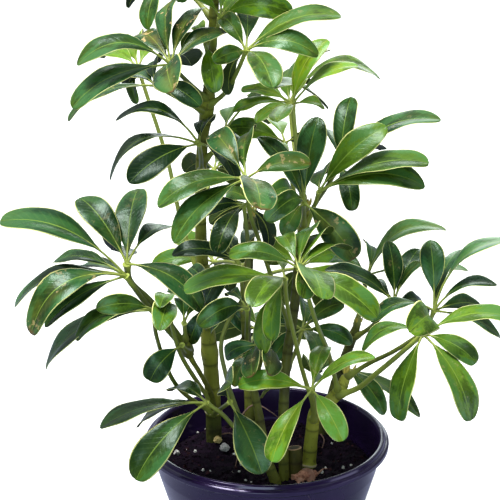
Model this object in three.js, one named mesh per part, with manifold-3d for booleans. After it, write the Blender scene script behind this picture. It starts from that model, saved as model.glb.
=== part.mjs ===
// A dwarf umbrella plant in its nursery pot, in millimetres, +Z up, +X to the right, +Y away.
// The origin is the centre of the pot's base. Each compound leaf is one piece: a leaf stalk
// with its leaflets fused to the hub. The woody stems stand in plain holes in the soil.

import * as THREE from "three";
import { mergeVertices } from "three/addons/utils/BufferGeometryUtils.js";
import Module from "manifold-3d";

const wasm = await Module();
wasm.setup();

// ---- driving sizes ---------------------------------------------------------------------
const GAP = 0.3;                 // air between two pieces that touch
const FACET_SPARE = 0.05;        // added to the gap round rods, whose sides are flat facets
const POT_HEIGHT = 129;
const RIM_RADIUS = 80.4;
const BASE_RADIUS = 55;
const STEP_RADIUS = 64.9;        // top of the tapered lower wall, below the step
const STEP_HEIGHT = 84;
const COLLAR_RADIUS = 66.5;      // foot of the flared collar, above the step
const COLLAR_HEIGHT = 87.5;
const SHOULDER_RADIUS = 74.3;    // top of the collar, under the rim
const SHOULDER_HEIGHT = 120.8;
const WAIST_RADIUS = 72.7;       // halfway up the collar, which curves a little
const WAIST_HEIGHT = 108;
const POT_WALL = 1.7;
const BASE_EDGE = 1.4;           // how far the wall stands out just above the base
const FLOOR_THICKNESS = 2;
const POT_SIDES = 32;
const DRAIN_HOLES = 6;
const DRAIN_RADIUS = 4.2;
const DRAIN_RING = 46;
const DRAIN_SIDES = 10;
const DRAIN_CUT = 8;             // height of the cutter, well over the floor's thickness
const SOIL_LEVEL = 108;
const SOIL_EDGE_RADIUS = 69.4;
const SOIL_EDGE_LEVEL = 104.5;
const SOIL_RINGS = 4;
const HUB_RADIUS = 3.2;
const STALK_RADII = [1.5, 1.4, 1.7, 2.1];   // a leaf stalk, from its hub to the stem
const STALK_SIDES = 5;
const LEAFLET_STALK_HALF = 0.8;  // half the thickness of a leaflet's own stalk
const LEAFLET_LENGTH = 64;       // hub to tip
const LEAFLET_SLENDERNESS = 0.34;
const LEAFLET_THICKNESS = 1.3;   // across the midrib
const LEAFLET_ARCH = 7;          // how far the middle stands off the straight line
const BEND_STEP = 5;             // step by which a leaflet is bent clear of its neighbours
const BEND_TRIES = 9;
const LEAN_DEPTH = 30;           // depth that a full lean counts for when leaflets are sorted
const STALK_TILT = 0.35;         // how far a whorl's axis follows its stalk, against straight up
const STEEP = 0.35;              // an axis this nearly along a leaflet can't say which way is up
const STEM_SAMPLES = 300;
const WELD = 1e-4;               // corners nearer than this are one corner
const PARALLEL = 1e-12;          // a line and a triangle this nearly parallel never cross

// Shares of the blade's length, and of its half width there.
const OUTLINE = [
  [0, 0.06],
  [0.24, 0.72],
  [0.58, 1.0],
  [0.87, 0.72],
];
const STALK_START = 0.012;       // share of a leaflet at which its own stalk leaves the hub
const STALK_SHARE = 0.13;        // share of a leaflet taken by that stalk, where none is given
const KNEE_SHARE = 0.58;         // how far along a leaflet the pull of its arch is

// The soil's swells and lumps: [height, waves across, their start, waves away, their start].
const SOIL_WAVES = [
  [1.5, 0.11, 0.7, 0.13, -0.4],
  [1.3, 0.31, 0.2, 0.37, 1.1],
];

// ---- sight lines -----------------------------------------------------------------------
// The plant is set out as seen from one standing point. A mark is [across, down, depth]:
// across and down count picture steps from the top left corner, depth is +Y in millimetres.
const EYE = new THREE.Vector3(-11.2, -1002.2, 597.5);
const EYE_PITCH = THREE.MathUtils.degToRad(18.8);
const STEPS_PER_UNIT = 1666.7;
const PICTURE_MIDDLE = 250;
const AHEAD = new THREE.Vector3(0, Math.cos(EYE_PITCH), -Math.sin(EYE_PITCH));
const ALOFT = new THREE.Vector3(0, Math.sin(EYE_PITCH), Math.cos(EYE_PITCH));
const UP = new THREE.Vector3(0, 0, 1);

function sightLine(across, down) {
  const direction = AHEAD.clone();
  direction.x += (across - PICTURE_MIDDLE) / STEPS_PER_UNIT;
  direction.addScaledVector(ALOFT, (PICTURE_MIDDLE - down) / STEPS_PER_UNIT);
  return direction;
}

function place([across, down, depth]) {
  const line = sightLine(across, down);
  const reach = (depth - EYE.y) / line.y;
  return EYE.clone().addScaledVector(line, reach);
}

function downOf(point) {
  const offset = point.clone().sub(EYE);
  return PICTURE_MIDDLE - (STEPS_PER_UNIT * offset.dot(ALOFT)) / offset.dot(AHEAD);
}

// ---- stems: marks from the soil up, with the radius at each ----------------------------
const STEMS = {
  trunk: {
    sides: 8,
    steps: 18,
    marks: [
      [216, 480, 29, 5.2], [214, 441, 33, 5.3], [213, 400, 32, 5.2], [209, 345, 29, 5.0],
      [204, 290, 26, 4.4], [201, 235, 23, 3.8], [202, 150, 17, 3.5], [208, 100, 12, 3.6],
      [211, 60, 9, 3.2], [214, 10, 7, 2.9], [215, -30, 6, 2.5],
    ],
  },
  left_shoot: {
    sides: 7,
    steps: 7,
    marks: [
      [214, 411, 31, 2.1], [211, 394, 20, 1.7], [200, 373, 6, 1.6],
      [191, 358, -5, 1.8], [188, 349, -10, 2.7], [185, 341, -13, 2.1],
    ],
  },
  right_cane: {
    sides: 8,
    steps: 11,
    marks: [
      [305, 500, -11, 4.8], [308, 478, -9, 4.7], [309, 464, -7, 4.6], [312, 432, -7, 4.3],
      [316, 412, -8, 4.5], [331, 400, -8, 4.1], [341, 388, -6, 4.0], [347, 374, -3, 3.0],
    ],
  },
  middle_cane: {
    sides: 7,
    steps: 11,
    marks: [
      [282, 505, -28, 3.6], [284, 478, -25, 3.5], [283, 440, -22, 3.4], [286, 366, -14, 3.2],
      [294, 310, -9, 3.1], [299, 262, -6, 3.0], [304, 226, -5, 3.3], [306, 206, -4, 2.4],
    ],
  },
  front_cane: {
    sides: 6,
    steps: 7,
    marks: [
      [279, 510, -35, 3.6], [276, 484, -31, 3.6], [268, 462, -28, 3.4], [258, 410, -24, 2.7],
      [246, 350, -22, 2.1], [243, 310, -22, 1.7],
    ],
  },
  back_cane: {
    sides: 6,
    steps: 7,
    marks: [
      [321, 478, 42, 3.6], [324, 433, 45, 3.6], [334, 388, 51, 3.3], [345, 357, 55, 3.1],
      [354, 334, 55, 3.2], [358, 322, 54, 2.2],
    ],
  },
  far_cane: {
    sides: 6,
    steps: 8,
    marks: [
      [250, 460, 50, 3.8], [250, 410, 55, 3.7], [247, 350, 62, 3.3], [246, 300, 66, 3.1],
      [250, 250, 70, 2.9], [252, 215, 72, 2.3],
    ],
  },
  cut_stub: {
    sides: 10,
    steps: 3,
    marks: [[296, 504, -24, 5.0], [295, 476, -20, 5.0], [295, 460, -19, 4.9], [294, 448, -18, 4.9]],
  },
};

// ---- compound leaves -------------------------------------------------------------------
// from: the stem, at: the height on it (a down mark), way: marks passed by the leaf stalk.
// A leaflet is [tip across, tip down, lean, width seen, arch in mm, stalk share]. Its lean runs
// from -1, coming forward, to +1, going back, and 0 lies square to the sight line.
const FRONDS = [
  { name: "frond_top_1", hub: [171, 65, -42], from: "trunk", at: 100, way: [[189, 83, -14]],
    leaflets: [[77, 65, -0.2, 19, 15], [72, 108, -0.4, 23, 9], [140, 35, 0.7, 24], [170, 2, 0.6, 19],
      [203, 8, 0.6, 17], [229, 32, 0.4, 16], [173, 92, -1, 30], [192, 66, 1, 9]] },
  { name: "frond_top_2", hub: [138, 68, 48], from: "trunk", at: 292,
    way: [[150, 105, 44], [168, 162, 40], [182, 225, 36]],
    leaflets: [[110, 86, -0.5, 15], [137, 104, -0.7, 9], [165, 44, 0.6, 14], [104, 58, 0.6, 14],
      [140, 40, 0.8, 16]] },
  { name: "frond_top_3", hub: [156, 86, -20], from: "trunk", at: 112, way: [[178, 98, -4]],
    leaflets: [[68, 121, 0, 10, 9], [200, 106, -0.4, 20], [128, 84, 0.8, 10], [160, 62, 0.9, 12]] },
  { name: "frond_top_4", hub: [246, 51, -38], from: "trunk", at: 106,
    way: [[235, 76, -20], [223, 95, 0]],
    leaflets: [[245, 10, 0.6, 23], [222, 18, 0.6, 20], [213, 61, -0.3, 18, 3], [273, 88, -0.8, 27],
      [318, 56, -0.2, 21, 10], [341, 16, 0.1, 18, 9], [229, 95, 0.5, 13]] },
  { name: "frond_top_5", hub: [220, 18, -10], from: "trunk", at: 48, way: [[216, 34, 0]], length: 56,
    leaflets: [[292, 14, -0.2, 26, 12], [230, -24, 0.2, 15], [172, -12, -0.1, 16],
      [252, -3, 0.8, 18], [232, 20, 1, 10]] },
  { name: "frond_top_6", hub: [170, -20, 26], from: "trunk", at: 20, way: [[192, -4, 18]], length: 56,
    leaflets: [[148, 30, -0.5, 16], [128, 8, 0.1, 11], [112, -30, 0, 18], [142, -62, 0.3, 20],
      [188, -68, 0.4, 18], [178, 2, -0.9, 14]] },
  { name: "frond_top_7", hub: [206, 44, -14], from: "trunk", at: 76, length: 52,
    way: [[208, 60, -4]],
    leaflets: [[215, 93, -0.4, 22], [184, 52, 0.6, 14], [198, 30, 0.9, 16]] },
  { name: "frond_crown_1", hub: [216, -66, 4], from: "trunk", at: -24, way: [[215, -44, 5]], length: 56,
    leaflets: [[156, -50, -0.1, 20, 9], [178, -18, -0.6, 22], [224, -30, -1, 24], [262, -22, -0.5, 22],
      [292, -62, 0, 20, 9], [262, -104, 0.4, 20], [214, -112, 0.5, 20], [170, -98, 0.3, 20]] },
  { name: "frond_crown_2", hub: [250, -36, 52], from: "trunk", at: -8, way: [[234, -18, 26]], length: 60,
    leaflets: [[318, -22, 0, 20], [304, -62, 0.3, 18], [266, -84, 0.5, 18], [236, -60, 0.8, 16],
      [276, -2, -0.4, 20], [238, -14, 0.9, 16]] },
  { name: "frond_crown_3", hub: [190, -36, -38], from: "trunk", at: -2, way: [[202, -16, -14]], length: 50,
    leaflets: [[130, -46, 0, 16], [150, -12, -0.4, 18], [212, -12, -0.7, 18], [228, -52, 0.2, 18],
      [196, -76, 0.5, 20], [158, -74, 0.2, 18]] },
  { name: "frond_left_1", hub: [199, 144, -26], from: "trunk", at: 172, way: [[201, 158, -8]],
    leaflets: [[116, 120, 0.1, 13, 15, 0.2], [110, 180, -0.1, 9, 17, 0.2], [129, 183, -0.6, 28],
      [236, 180, -0.5, 13],
      [212, 122, 0.9, 12]] },
  { name: "frond_light_1", hub: [293, 104, -8], from: "middle_cane", at: 212, length: 56,
    way: [[295, 130, -10], [298, 160, -10], [302, 190, -7]],
    leaflets: [[241, 90, 0, 11, 4, 0.16], [233, 112, -0.1, 11, 5, 0.16], [256, 123, -0.5, 11, 4],
      [277, 122, -0.8, 15, 3], [324, 107, 0.4, 11, 3], [328, 40, 0.1, 20], [358, 66, 0.1, 12],
      [308, 84, 0.9, 12]] },
  { name: "frond_right_1", hub: [224, 132, 6], from: "trunk", at: 162, length: 70,
    way: [[218, 146, 12]],
    leaflets: [[328, 109, 0.3, 13, 24], [244, 108, 0.9, 14], [236, 158, -0.4, 14]] },
  { name: "frond_right_2", hub: [290, 104, 66], from: "middle_cane", at: 222,
    way: [[292, 130, 62], [297, 168, 44], [302, 200, 16]],
    leaflets: [[380, 79, 0.1, 12, 19], [330, 50, 0.6, 12], [292, 68, 0.7, 17], [250, 96, 0.6, 14]] },
  { name: "frond_right_3", hub: [340, 166, 24], from: "middle_cane", at: 228,
    way: [[326, 188, 16], [313, 208, 6]],
    leaflets: [[441, 120, 0, 17, 11], [351, 97, 0.4, 23], [318, 128, 0.8, 14], [380, 150, 0.8, 12],
      [352, 211, -0.4, 20]] },
  { name: "frond_right_4", hub: [319, 192, -22], from: "middle_cane", at: 236,
    way: [[313, 210, -12]],
    leaflets: [[387, 127, 0, 29], [429, 163, 0.35, 20, 9], [425, 187, -0.4, 27, 12],
      [330, 172, 0.9, 12]] },
  { name: "frond_right_5", hub: [304, 203, -36], from: "middle_cane", at: 226,
    way: [[304, 213, -20]],
    leaflets: [[318, 117, 0.1, 29], [258, 137, 0.1, 19], [354, 259, -0.3, 32], [284, 237, -0.2, 20],
      [266, 221, -0.4, 22, 12]] },
  { name: "frond_teal_1", hub: [285, 143, 46], from: "middle_cane", at: 244,
    way: [[290, 172, 34], [297, 208, 14]],
    leaflets: [[228, 130, 0.1, 21], [268, 124, 0.8, 16], [322, 150, 0.4, 18], [276, 170, -0.4, 18]] },
  { name: "frond_front_1", hub: [246, 179, -74], from: "middle_cane", at: 330,
    way: [[250, 213, -62], [259, 240, -48], [276, 290, -26]],
    leaflets: [[213, 133, 0.6, 28], [252, 131, 0.7, 17], [311, 164, 0, 21],
      [261, 210, -1, 28], [158, 207, -0.2, 23, 9], [174, 243, -0.4, 25, 8]] },
  { name: "frond_front_2", hub: [244, 205, -40], from: "front_cane", at: 456,
    way: [[248, 250, -38], [246, 291, -36], [228, 322, -37], [221, 346, -38], [226, 375, -40],
      [234, 402, -40], [250, 438, -34]],
    leaflets: [[203, 215, 0, 15], [217, 253, -0.5, 23], [268, 250, -0.4, 16],
      [276, 206, 0.4, 14]] },
  { name: "frond_front_3", hub: [299, 269, -98], from: "right_cane", at: 392,
    way: [[308, 297, -86], [317, 325, -66], [328, 352, -42]],
    leaflets: [[315, 227, 0.7, 18], [330, 234, 0.8, 11], [348, 250, 0.7, 9], [377, 318, -0.1, 27, 6],
      [322, 299, -1, 20], [302, 298, -1, 16], [229, 255, 0, 19, 7], [282, 236, 0.7, 20]] },
  { name: "frond_front_4", hub: [285, 279, -84], from: "right_cane", at: 412,
    way: [[287, 303, -74], [294, 335, -54], [303, 372, -30]],
    leaflets: [[184, 291, -0.1, 21, 7], [252, 307, -0.8, 25], [270, 265, 0.9, 9], [272, 341, -0.3, 19],
      [264, 353, 0.4, 20]] },
  { name: "frond_core_1", hub: [238, 262, -8], from: "front_cane", at: 314, way: [[242, 285, -16]],
    leaflets: [[172, 255, 0, 17, 7], [205, 303, -0.2, 22], [262, 232, 0.6, 16], [214, 232, 0.6, 14]] },
  { name: "frond_left_2", hub: [127, 264, -44], from: "left_shoot", at: 352, length: 72,
    way: [[130, 281, -40], [150, 301, -32], [172, 328, -20]],
    leaflets: [[80, 198, 0.6, 30], [138, 189, 0.7, 30], [168, 226, 0.5, 17, 7, 0.28],
      [202, 311, -0.2, 25, 11], [112, 250, 1, 10]] },
  { name: "frond_left_3", hub: [126, 276, -54], from: "left_shoot", at: 355, length: 70,
    way: [[141, 297, -46], [162, 323, -29]],
    leaflets: [[0, 221, -0.1, 27, 13, 0.25], [31, 334, -0.3, 29, 20, 0.18], [45, 327, 0, 18, 6, 0.15],
      [15, 306, 0.3, 14, 13, 0.18], [54, 262, 0.4, 15, 8, 0.2], [74, 273, 0.7, 10]] },
  { name: "frond_left_4", hub: [153, 310, -56], from: "trunk", at: 414, length: 68,
    way: [[157, 338, -38], [177, 386, -4]],
    leaflets: [[96, 309, -0.2, 21], [76, 340, -0.2, 16, 10], [46, 369, 0, 18, 13, 0.15]] },
  { name: "frond_left_5", hub: [169, 304, -78], from: "trunk", at: 404, length: 48,
    way: [[172, 326, -46], [181, 355, -22], [200, 386, 8]],
    leaflets: [[159, 331, -0.9, 26], [160, 308, -0.7, 11]] },
  { name: "frond_left_6", hub: [184, 323, -36], from: "left_shoot", at: 341, way: [[185, 332, -24]],
    length: 44, leaflets: [[183, 299, 0.3, 18], [206, 300, 0.6, 14]] },
  { name: "frond_left_7", hub: [182, 345, -32], from: "left_shoot", at: 350, length: 46,
    way: [[186, 349, -21]],
    leaflets: [[150, 381, 0.2, 26]] },
  { name: "frond_core_2", hub: [247, 309, -52], from: "front_cane", at: 352,
    way: [[247, 330, -38]],
    leaflets: [[199, 326, -0.3, 23, 11], [211, 333, 0.1, 9, 6], [262, 296, 0.8, 14],
      [228, 296, 0.8, 12]] },
  { name: "frond_core_3", hub: [263, 345, -52], from: "front_cane", at: 385, way: [[260, 365, -38]],
    leaflets: [[234, 387, -0.2, 15], [252, 377, -0.7, 12], [268, 375, -0.8, 15], [226, 359, 0.3, 17]] },
  { name: "frond_low_1", hub: [207, 403, -46], from: "front_cane", at: 440, length: 72,
    way: [[222, 414, -40], [240, 432, -34]],
    leaflets: [[100, 428, 0, 17, 7], [136, 480, -0.3, 34, 9], [172, 391, 0.6, 15], [138, 427, 0.5, 11]] },
  { name: "frond_low_2", hub: [230, 402, -64], from: "trunk", at: 414,
    way: [[222, 408, -30]],
    leaflets: [[262, 474, -0.3, 36, 7], [232, 384, -0.9, 10]] },
  { name: "frond_low_3", hub: [312, 390, -92], from: "right_cane", at: 420,
    way: [[314, 404, -60], [314, 414, -30]],
    leaflets: [[238, 386, 0, 21], [272, 462, -0.3, 23, 6], [343, 441, -0.4, 24], [375, 357, 0, 14],
      [325, 347, 0.4, 19], [262, 398, 0.5, 9], [304, 368, 0.8, 8]] },
  { name: "frond_right_6", hub: [423, 334, -58], from: "right_cane", at: 396,
    way: [[402, 352, -48], [378, 372, -34], [356, 389, -16]],
    leaflets: [[398, 420, 0.1, 23], [470, 421, -0.3, 25, 8, 0.17], [476, 363, 0, 21],
      [512, 318, 0, 17, 8, 0.16], [362, 352, -0.2, 13, 12], [409, 332, -0.95, 27, 13]] },
  { name: "frond_right_7", hub: [434, 311, -34], from: "right_cane", at: 378,
    way: [[426, 328, -32], [396, 350, -24], [368, 364, -12]],
    leaflets: [[510, 240, 0, 12, 13, 0.28], [497, 285, 0, 11, 9, 0.2], [451, 266, 0.6, 10],
      [430, 240, 0.1, 25, 5, 0.25], [484, 312, 0.5, 17], [500, 337, 0.3, 12, 5], [460, 250, 0.5, 15],
      [371, 322, -0.35, 13, 10, 0.2]] },
  { name: "frond_right_8", hub: [394, 303, 18], from: "back_cane", at: 338,
    way: [[380, 318, 34], [367, 330, 48]],
    leaflets: [[388, 241, 0.1, 20, 5, 0.2], [419, 249, 0.3, 20], [421, 262, -0.1, 9, 4, 0.3],
      [366, 286, 0.8, 11],
      [325, 270, 0, 16, 8], [425, 312, 0.6, 12]] },
  { name: "frond_right_9", hub: [368, 275, 52], from: "back_cane", at: 328,
    way: [[362, 300, 53]],
    leaflets: [[446, 230, 0, 15, 16, 0.08], [367, 245, 0.6, 15], [330, 262, 0.4, 14],
      [468, 271, 0, 11, 6]] },
  { name: "frond_right_10", hub: [346, 368, 44], from: "back_cane", at: 374, way: [[343, 371, 54]],
    leaflets: [[384, 415, -0.2, 19], [420, 417, 0.1, 15, 6], [322, 372, 0.4, 12]] },
  { name: "frond_back_1", hub: [256, 205, 112], from: "far_cane", at: 228, way: [[254, 214, 92]],
    leaflets: [[306, 226, 0.2, 20], [292, 190, 0.5, 20], [262, 200, 1, 20], [226, 196, 0.5, 20],
      [210, 224, 0.2, 20], [250, 240, 0.4, 18]] },
  { name: "frond_back_2", hub: [214, 262, 118], from: "far_cane", at: 268, way: [[230, 262, 92]],
    leaflets: [[152, 268, 0.2, 20], [176, 240, 0.6, 20], [214, 248, 1, 20], [252, 258, 0.6, 20],
      [192, 300, 0.4, 20], [230, 292, 0.7, 18]] },
  { name: "frond_back_3", hub: [300, 268, 118], from: "far_cane", at: 282, way: [[275, 272, 96]],
    leaflets: [[356, 290, 0.2, 20], [338, 256, 0.5, 20], [304, 248, 0.9, 20], [264, 250, 0.5, 20],
      [280, 305, 0.4, 20], [322, 312, 0.4, 18]] },
  { name: "frond_back_4", hub: [262, 330, 122], from: "far_cane", at: 346, way: [[255, 336, 92]],
    leaflets: [[210, 338, 0.3, 20], [236, 316, 0.7, 20], [270, 316, 0.9, 20], [312, 336, 0.4, 20],
      [288, 362, 0.4, 20], [238, 366, 0.4, 20]] },
  { name: "frond_core_4", hub: [302, 330, 14], from: "middle_cane", at: 372, way: [[296, 350, 4]],
    leaflets: [[344, 304, 0.2, 19], [352, 344, 0, 18], [322, 366, -0.5, 17], [270, 366, -0.2, 18],
      [256, 318, 0.3, 18], [300, 300, 0.8, 16]] },
  { name: "frond_core_5", hub: [214, 300, -2], from: "trunk", at: 330, way: [[209, 314, 10]],
    leaflets: [[168, 290, 0.4, 18], [190, 268, 0.7, 18], [232, 276, 0.8, 18], [246, 330, -0.3, 18],
      [190, 344, -0.2, 18]] },
  { name: "frond_back_5", hub: [214, 170, 72], from: "trunk", at: 206, way: [[209, 184, 46]],
    leaflets: [[184, 172, 0.8, 18], [212, 152, 0.9, 18], [244, 160, 0.6, 18], [240, 186, 0.5, 18]] },
];

// ---- solids ----------------------------------------------------------------------------
function solidFrom(positions, triangles) {
  const mesh = new wasm.Mesh({
    numProp: 3,
    vertProperties: new Float32Array(positions),
    triVerts: new Uint32Array(triangles),
  });
  return new wasm.Manifold(mesh);
}

function solidFromGeometry(geometry) {
  const bare = geometry.clone();
  bare.deleteAttribute("normal");
  bare.deleteAttribute("uv");
  const merged = mergeVertices(bare, WELD);
  return solidFrom(merged.attributes.position.array, merged.index.array);
}

function geometryFrom(solid) {
  const mesh = solid.getMesh();
  const geometry = new THREE.BufferGeometry();
  geometry.setAttribute("position", new THREE.BufferAttribute(new Float32Array(mesh.vertProperties), 3));
  geometry.setIndex(new THREE.BufferAttribute(new Uint32Array(mesh.triVerts), 1));
  geometry.computeVertexNormals();
  return geometry;
}

function largestBody(solid) {
  const bodies = solid.decompose();
  return bodies.reduce((best, body) => (body.volume() > best.volume() ? body : best));
}

// Rings of equal count joined into a closed skin, with a flat or pointed end.
function skinFrom(rings, tip) {
  const count = rings[0].length;
  const positions = [];
  const triangles = [];
  for (const ring of rings) {
    for (const point of ring) {
      positions.push(point.x, point.y, point.z);
    }
  }
  for (let i = 0; i + 1 < rings.length; i += 1) {
    for (let k = 0; k < count; k += 1) {
      const a = i * count + k;
      const b = i * count + ((k + 1) % count);
      triangles.push(a, b, b + count, a, b + count, a + count);
    }
  }
  for (let k = 1; k + 1 < count; k += 1) {
    triangles.push(0, k + 1, k);
  }
  const last = (rings.length - 1) * count;
  if (tip) {
    positions.push(tip.x, tip.y, tip.z);
    const end = rings.length * count;
    for (let k = 0; k < count; k += 1) {
      triangles.push(last + k, last + ((k + 1) % count), end);
    }
  } else {
    for (let k = 1; k + 1 < count; k += 1) {
      triangles.push(last, last + k, last + k + 1);
    }
  }
  return { positions, triangles, box: boxOf(positions, 0, positions.length / 3) };
}

function solidOf(skin) {
  return solidFrom(skin.positions, skin.triangles);
}

function boxOf(positions, from, to) {
  const box = { min: [Infinity, Infinity, Infinity], max: [-Infinity, -Infinity, -Infinity] };
  for (let i = from; i < to; i += 1) {
    for (let k = 0; k < 3; k += 1) {
      box.min[k] = Math.min(box.min[k], positions[3 * i + k]);
      box.max[k] = Math.max(box.max[k], positions[3 * i + k]);
    }
  }
  return box;
}

function boxesMeet(a, b) {
  for (let k = 0; k < 3; k += 1) {
    if (a.min[k] > b.max[k] || b.min[k] > a.max[k]) {
      return false;
    }
  }
  return true;
}

// The triangles of one skin that reach into a box, as lists of three corners.
function trianglesIn(skin, box) {
  const found = [];
  for (let i = 0; i < skin.triangles.length; i += 3) {
    const corners = [0, 1, 2].map((k) => {
      const at = 3 * skin.triangles[i + k];
      return [skin.positions[at], skin.positions[at + 1], skin.positions[at + 2]];
    });
    const own = boxOf(corners.flat(), 0, 3);
    if (boxesMeet(own, box)) {
      found.push({ corners, own });
    }
  }
  return found;
}

function minus(a, b) {
  return [a[0] - b[0], a[1] - b[1], a[2] - b[2]];
}

function cross(a, b) {
  return [a[1] * b[2] - a[2] * b[1], a[2] * b[0] - a[0] * b[2], a[0] * b[1] - a[1] * b[0]];
}

function dot(a, b) {
  return a[0] * b[0] + a[1] * b[1] + a[2] * b[2];
}

// Whether the straight line from start to end passes through a triangle.
function passes(start, end, corners) {
  const way = minus(end, start);
  const sideOne = minus(corners[1], corners[0]);
  const sideTwo = minus(corners[2], corners[0]);
  const slant = cross(way, sideTwo);
  const scale = dot(sideOne, slant);
  if (Math.abs(scale) < PARALLEL) {
    return false;
  }
  const from = minus(start, corners[0]);
  const u = dot(from, slant) / scale;
  if (u < 0 || u > 1) {
    return false;
  }
  const lean = cross(from, sideOne);
  const v = dot(way, lean) / scale;
  const reach = dot(sideTwo, lean) / scale;
  return v >= 0 && u + v <= 1 && reach >= 0 && reach <= 1;
}

function edgesPass(some, others) {
  for (const one of some) {
    for (const other of others) {
      if (boxesMeet(one.own, other.own)) {
        for (let k = 0; k < 3; k += 1) {
          if (passes(one.corners[k], one.corners[(k + 1) % 3], other.corners)) {
            return true;
          }
        }
      }
    }
  }
  return false;
}

function skinsMeet(one, other) {
  if (!boxesMeet(one.box, other.box)) {
    return false;
  }
  const some = trianglesIn(one, other.box);
  const others = trianglesIn(other, one.box);
  return edgesPass(some, others) || edgesPass(others, some);
}

// A round rod along a curve, its radius read from a list of values spread along the points.
function rod(points, radii, sides, steps, extra = 0) {
  const curve = new THREE.CatmullRomCurve3(points, false, "centripetal");
  const frames = curve.computeFrenetFrames(steps, false);
  const rings = [];
  for (let i = 0; i <= steps; i += 1) {
    const share = i / steps;
    const centre = curve.getPointAt(share);
    const slot = curve.getUtoTmapping(share) * (radii.length - 1);
    const low = Math.min(Math.floor(slot), radii.length - 2);
    const radius = THREE.MathUtils.lerp(radii[low], radii[low + 1], slot - low) + extra;
    const ring = [];
    for (let k = 0; k < sides; k += 1) {
      const turn = (2 * Math.PI * k) / sides;
      const point = centre.clone();
      point.addScaledVector(frames.normals[i], radius * Math.cos(turn));
      point.addScaledVector(frames.binormals[i], radius * Math.sin(turn));
      ring.push(point);
    }
    rings.push(ring);
  }
  return skinFrom(rings);
}

function stemRod(stem, extra = 0) {
  const points = stem.marks.map((mark) => place(mark));
  const radii = stem.marks.map((mark) => mark[3]);
  return rod(points, radii, stem.sides, stem.steps, extra);
}

// The point of a stem's axis that is seen at a given down mark.
function pointOnStem(stem, down) {
  const points = stem.marks.map((mark) => place(mark));
  const curve = new THREE.CatmullRomCurve3(points, false, "centripetal");
  let best = points[0];
  let bestError = Infinity;
  for (let i = 0; i <= STEM_SAMPLES; i += 1) {
    const point = curve.getPoint(i / STEM_SAMPLES);
    const error = Math.abs(downOf(point) - down);
    if (error < bestError) {
      bestError = error;
      best = point;
    }
  }
  return best;
}

// ---- leaflets --------------------------------------------------------------------------
function leafletTip(hub, leaflet, length, shift) {
  const line = sightLine(leaflet[0], leaflet[1]);
  const size = line.length();
  line.divideScalar(size);
  const nearest = hub.clone().sub(EYE).dot(line);
  const foot = EYE.clone().addScaledVector(line, nearest);
  const off = foot.distanceTo(hub);
  const reach = off < length ? Math.sqrt(length * length - off * off) : 0;
  return foot.addScaledVector(line, leaflet[2] * reach + shift);
}

// Centre line, width direction and half width of one leaflet.
function leafletFrame(hub, axis, leaflet, length, shift) {
  const tip = leafletTip(hub, leaflet, length, shift);
  const chord = tip.clone().sub(hub);
  const span = chord.length();
  chord.normalize();
  const middle = hub.clone().add(tip).multiplyScalar(0.5);
  const sight = middle.clone().sub(EYE);
  const unit = sight.length() / STEPS_PER_UNIT;
  sight.normalize();
  const across = new THREE.Vector3().crossVectors(chord, sight).normalize();
  const deep = new THREE.Vector3().crossVectors(across, chord).normalize();
  const seen = leaflet[3] * unit;
  const width = Math.max(seen, span * LEAFLET_SLENDERNESS);
  const turn = Math.acos(Math.min(1, seen / width));
  let side = null;
  let best = -Infinity;
  for (const sign of [1, -1]) {
    const trial = across.clone().multiplyScalar(Math.cos(turn));
    trial.addScaledVector(deep, sign * Math.sin(turn));
    const normal = new THREE.Vector3().crossVectors(trial, chord);
    const upright = Math.abs(normal.dot(axis));
    if (upright > best) {
      best = upright;
      side = trial;
    }
  }
  const normal = new THREE.Vector3().crossVectors(side, chord);
  if (normal.dot(axis) < 0) {
    side.negate();
    normal.negate();
  }
  const lift = axis.clone().addScaledVector(chord, -axis.dot(chord));
  if (lift.length() < STEEP) {
    lift.copy(normal);
  }
  lift.normalize().add(normal).normalize();
  const arch = leaflet[4] ?? LEAFLET_ARCH;
  const knee = hub.clone().lerp(tip, KNEE_SHARE).addScaledVector(lift, 2 * arch);
  const curve = new THREE.QuadraticBezierCurve3(hub.clone(), knee, tip);
  return { curve, side, halfWidth: width / 2, tip, stalk: leaflet[5] ?? STALK_SHARE };
}

function leafletSkin(frame, extra = 0, bladeOnly = false) {
  const rings = [];
  const blade = OUTLINE.map(([at, share]) => [frame.stalk + (1 - frame.stalk) * at, share]);
  const stations = bladeOnly ? blade.slice(1) : [[STALK_START, 0], ...blade];
  for (const [along, share] of stations) {
    const centre = frame.curve.getPoint(along);
    const tangent = frame.curve.getTangent(along);
    const side = frame.side.clone().addScaledVector(tangent, -frame.side.dot(tangent)).normalize();
    const normal = new THREE.Vector3().crossVectors(side, tangent).normalize();
    const half = Math.max(frame.halfWidth * share, LEAFLET_STALK_HALF);
    const low = centre.clone().addScaledVector(normal, -LEAFLET_THICKNESS / 2 - extra);
    rings.push([
      centre.clone().addScaledVector(normal, LEAFLET_THICKNESS / 2 + 2 * extra),
      low.clone().addScaledVector(side, half + extra),
      low.clone().addScaledVector(side, -half - extra),
    ]);
  }
  const tip = frame.tip.clone();
  tip.addScaledVector(frame.curve.getTangent(1), extra);
  return skinFrom(rings, tip);
}

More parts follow.
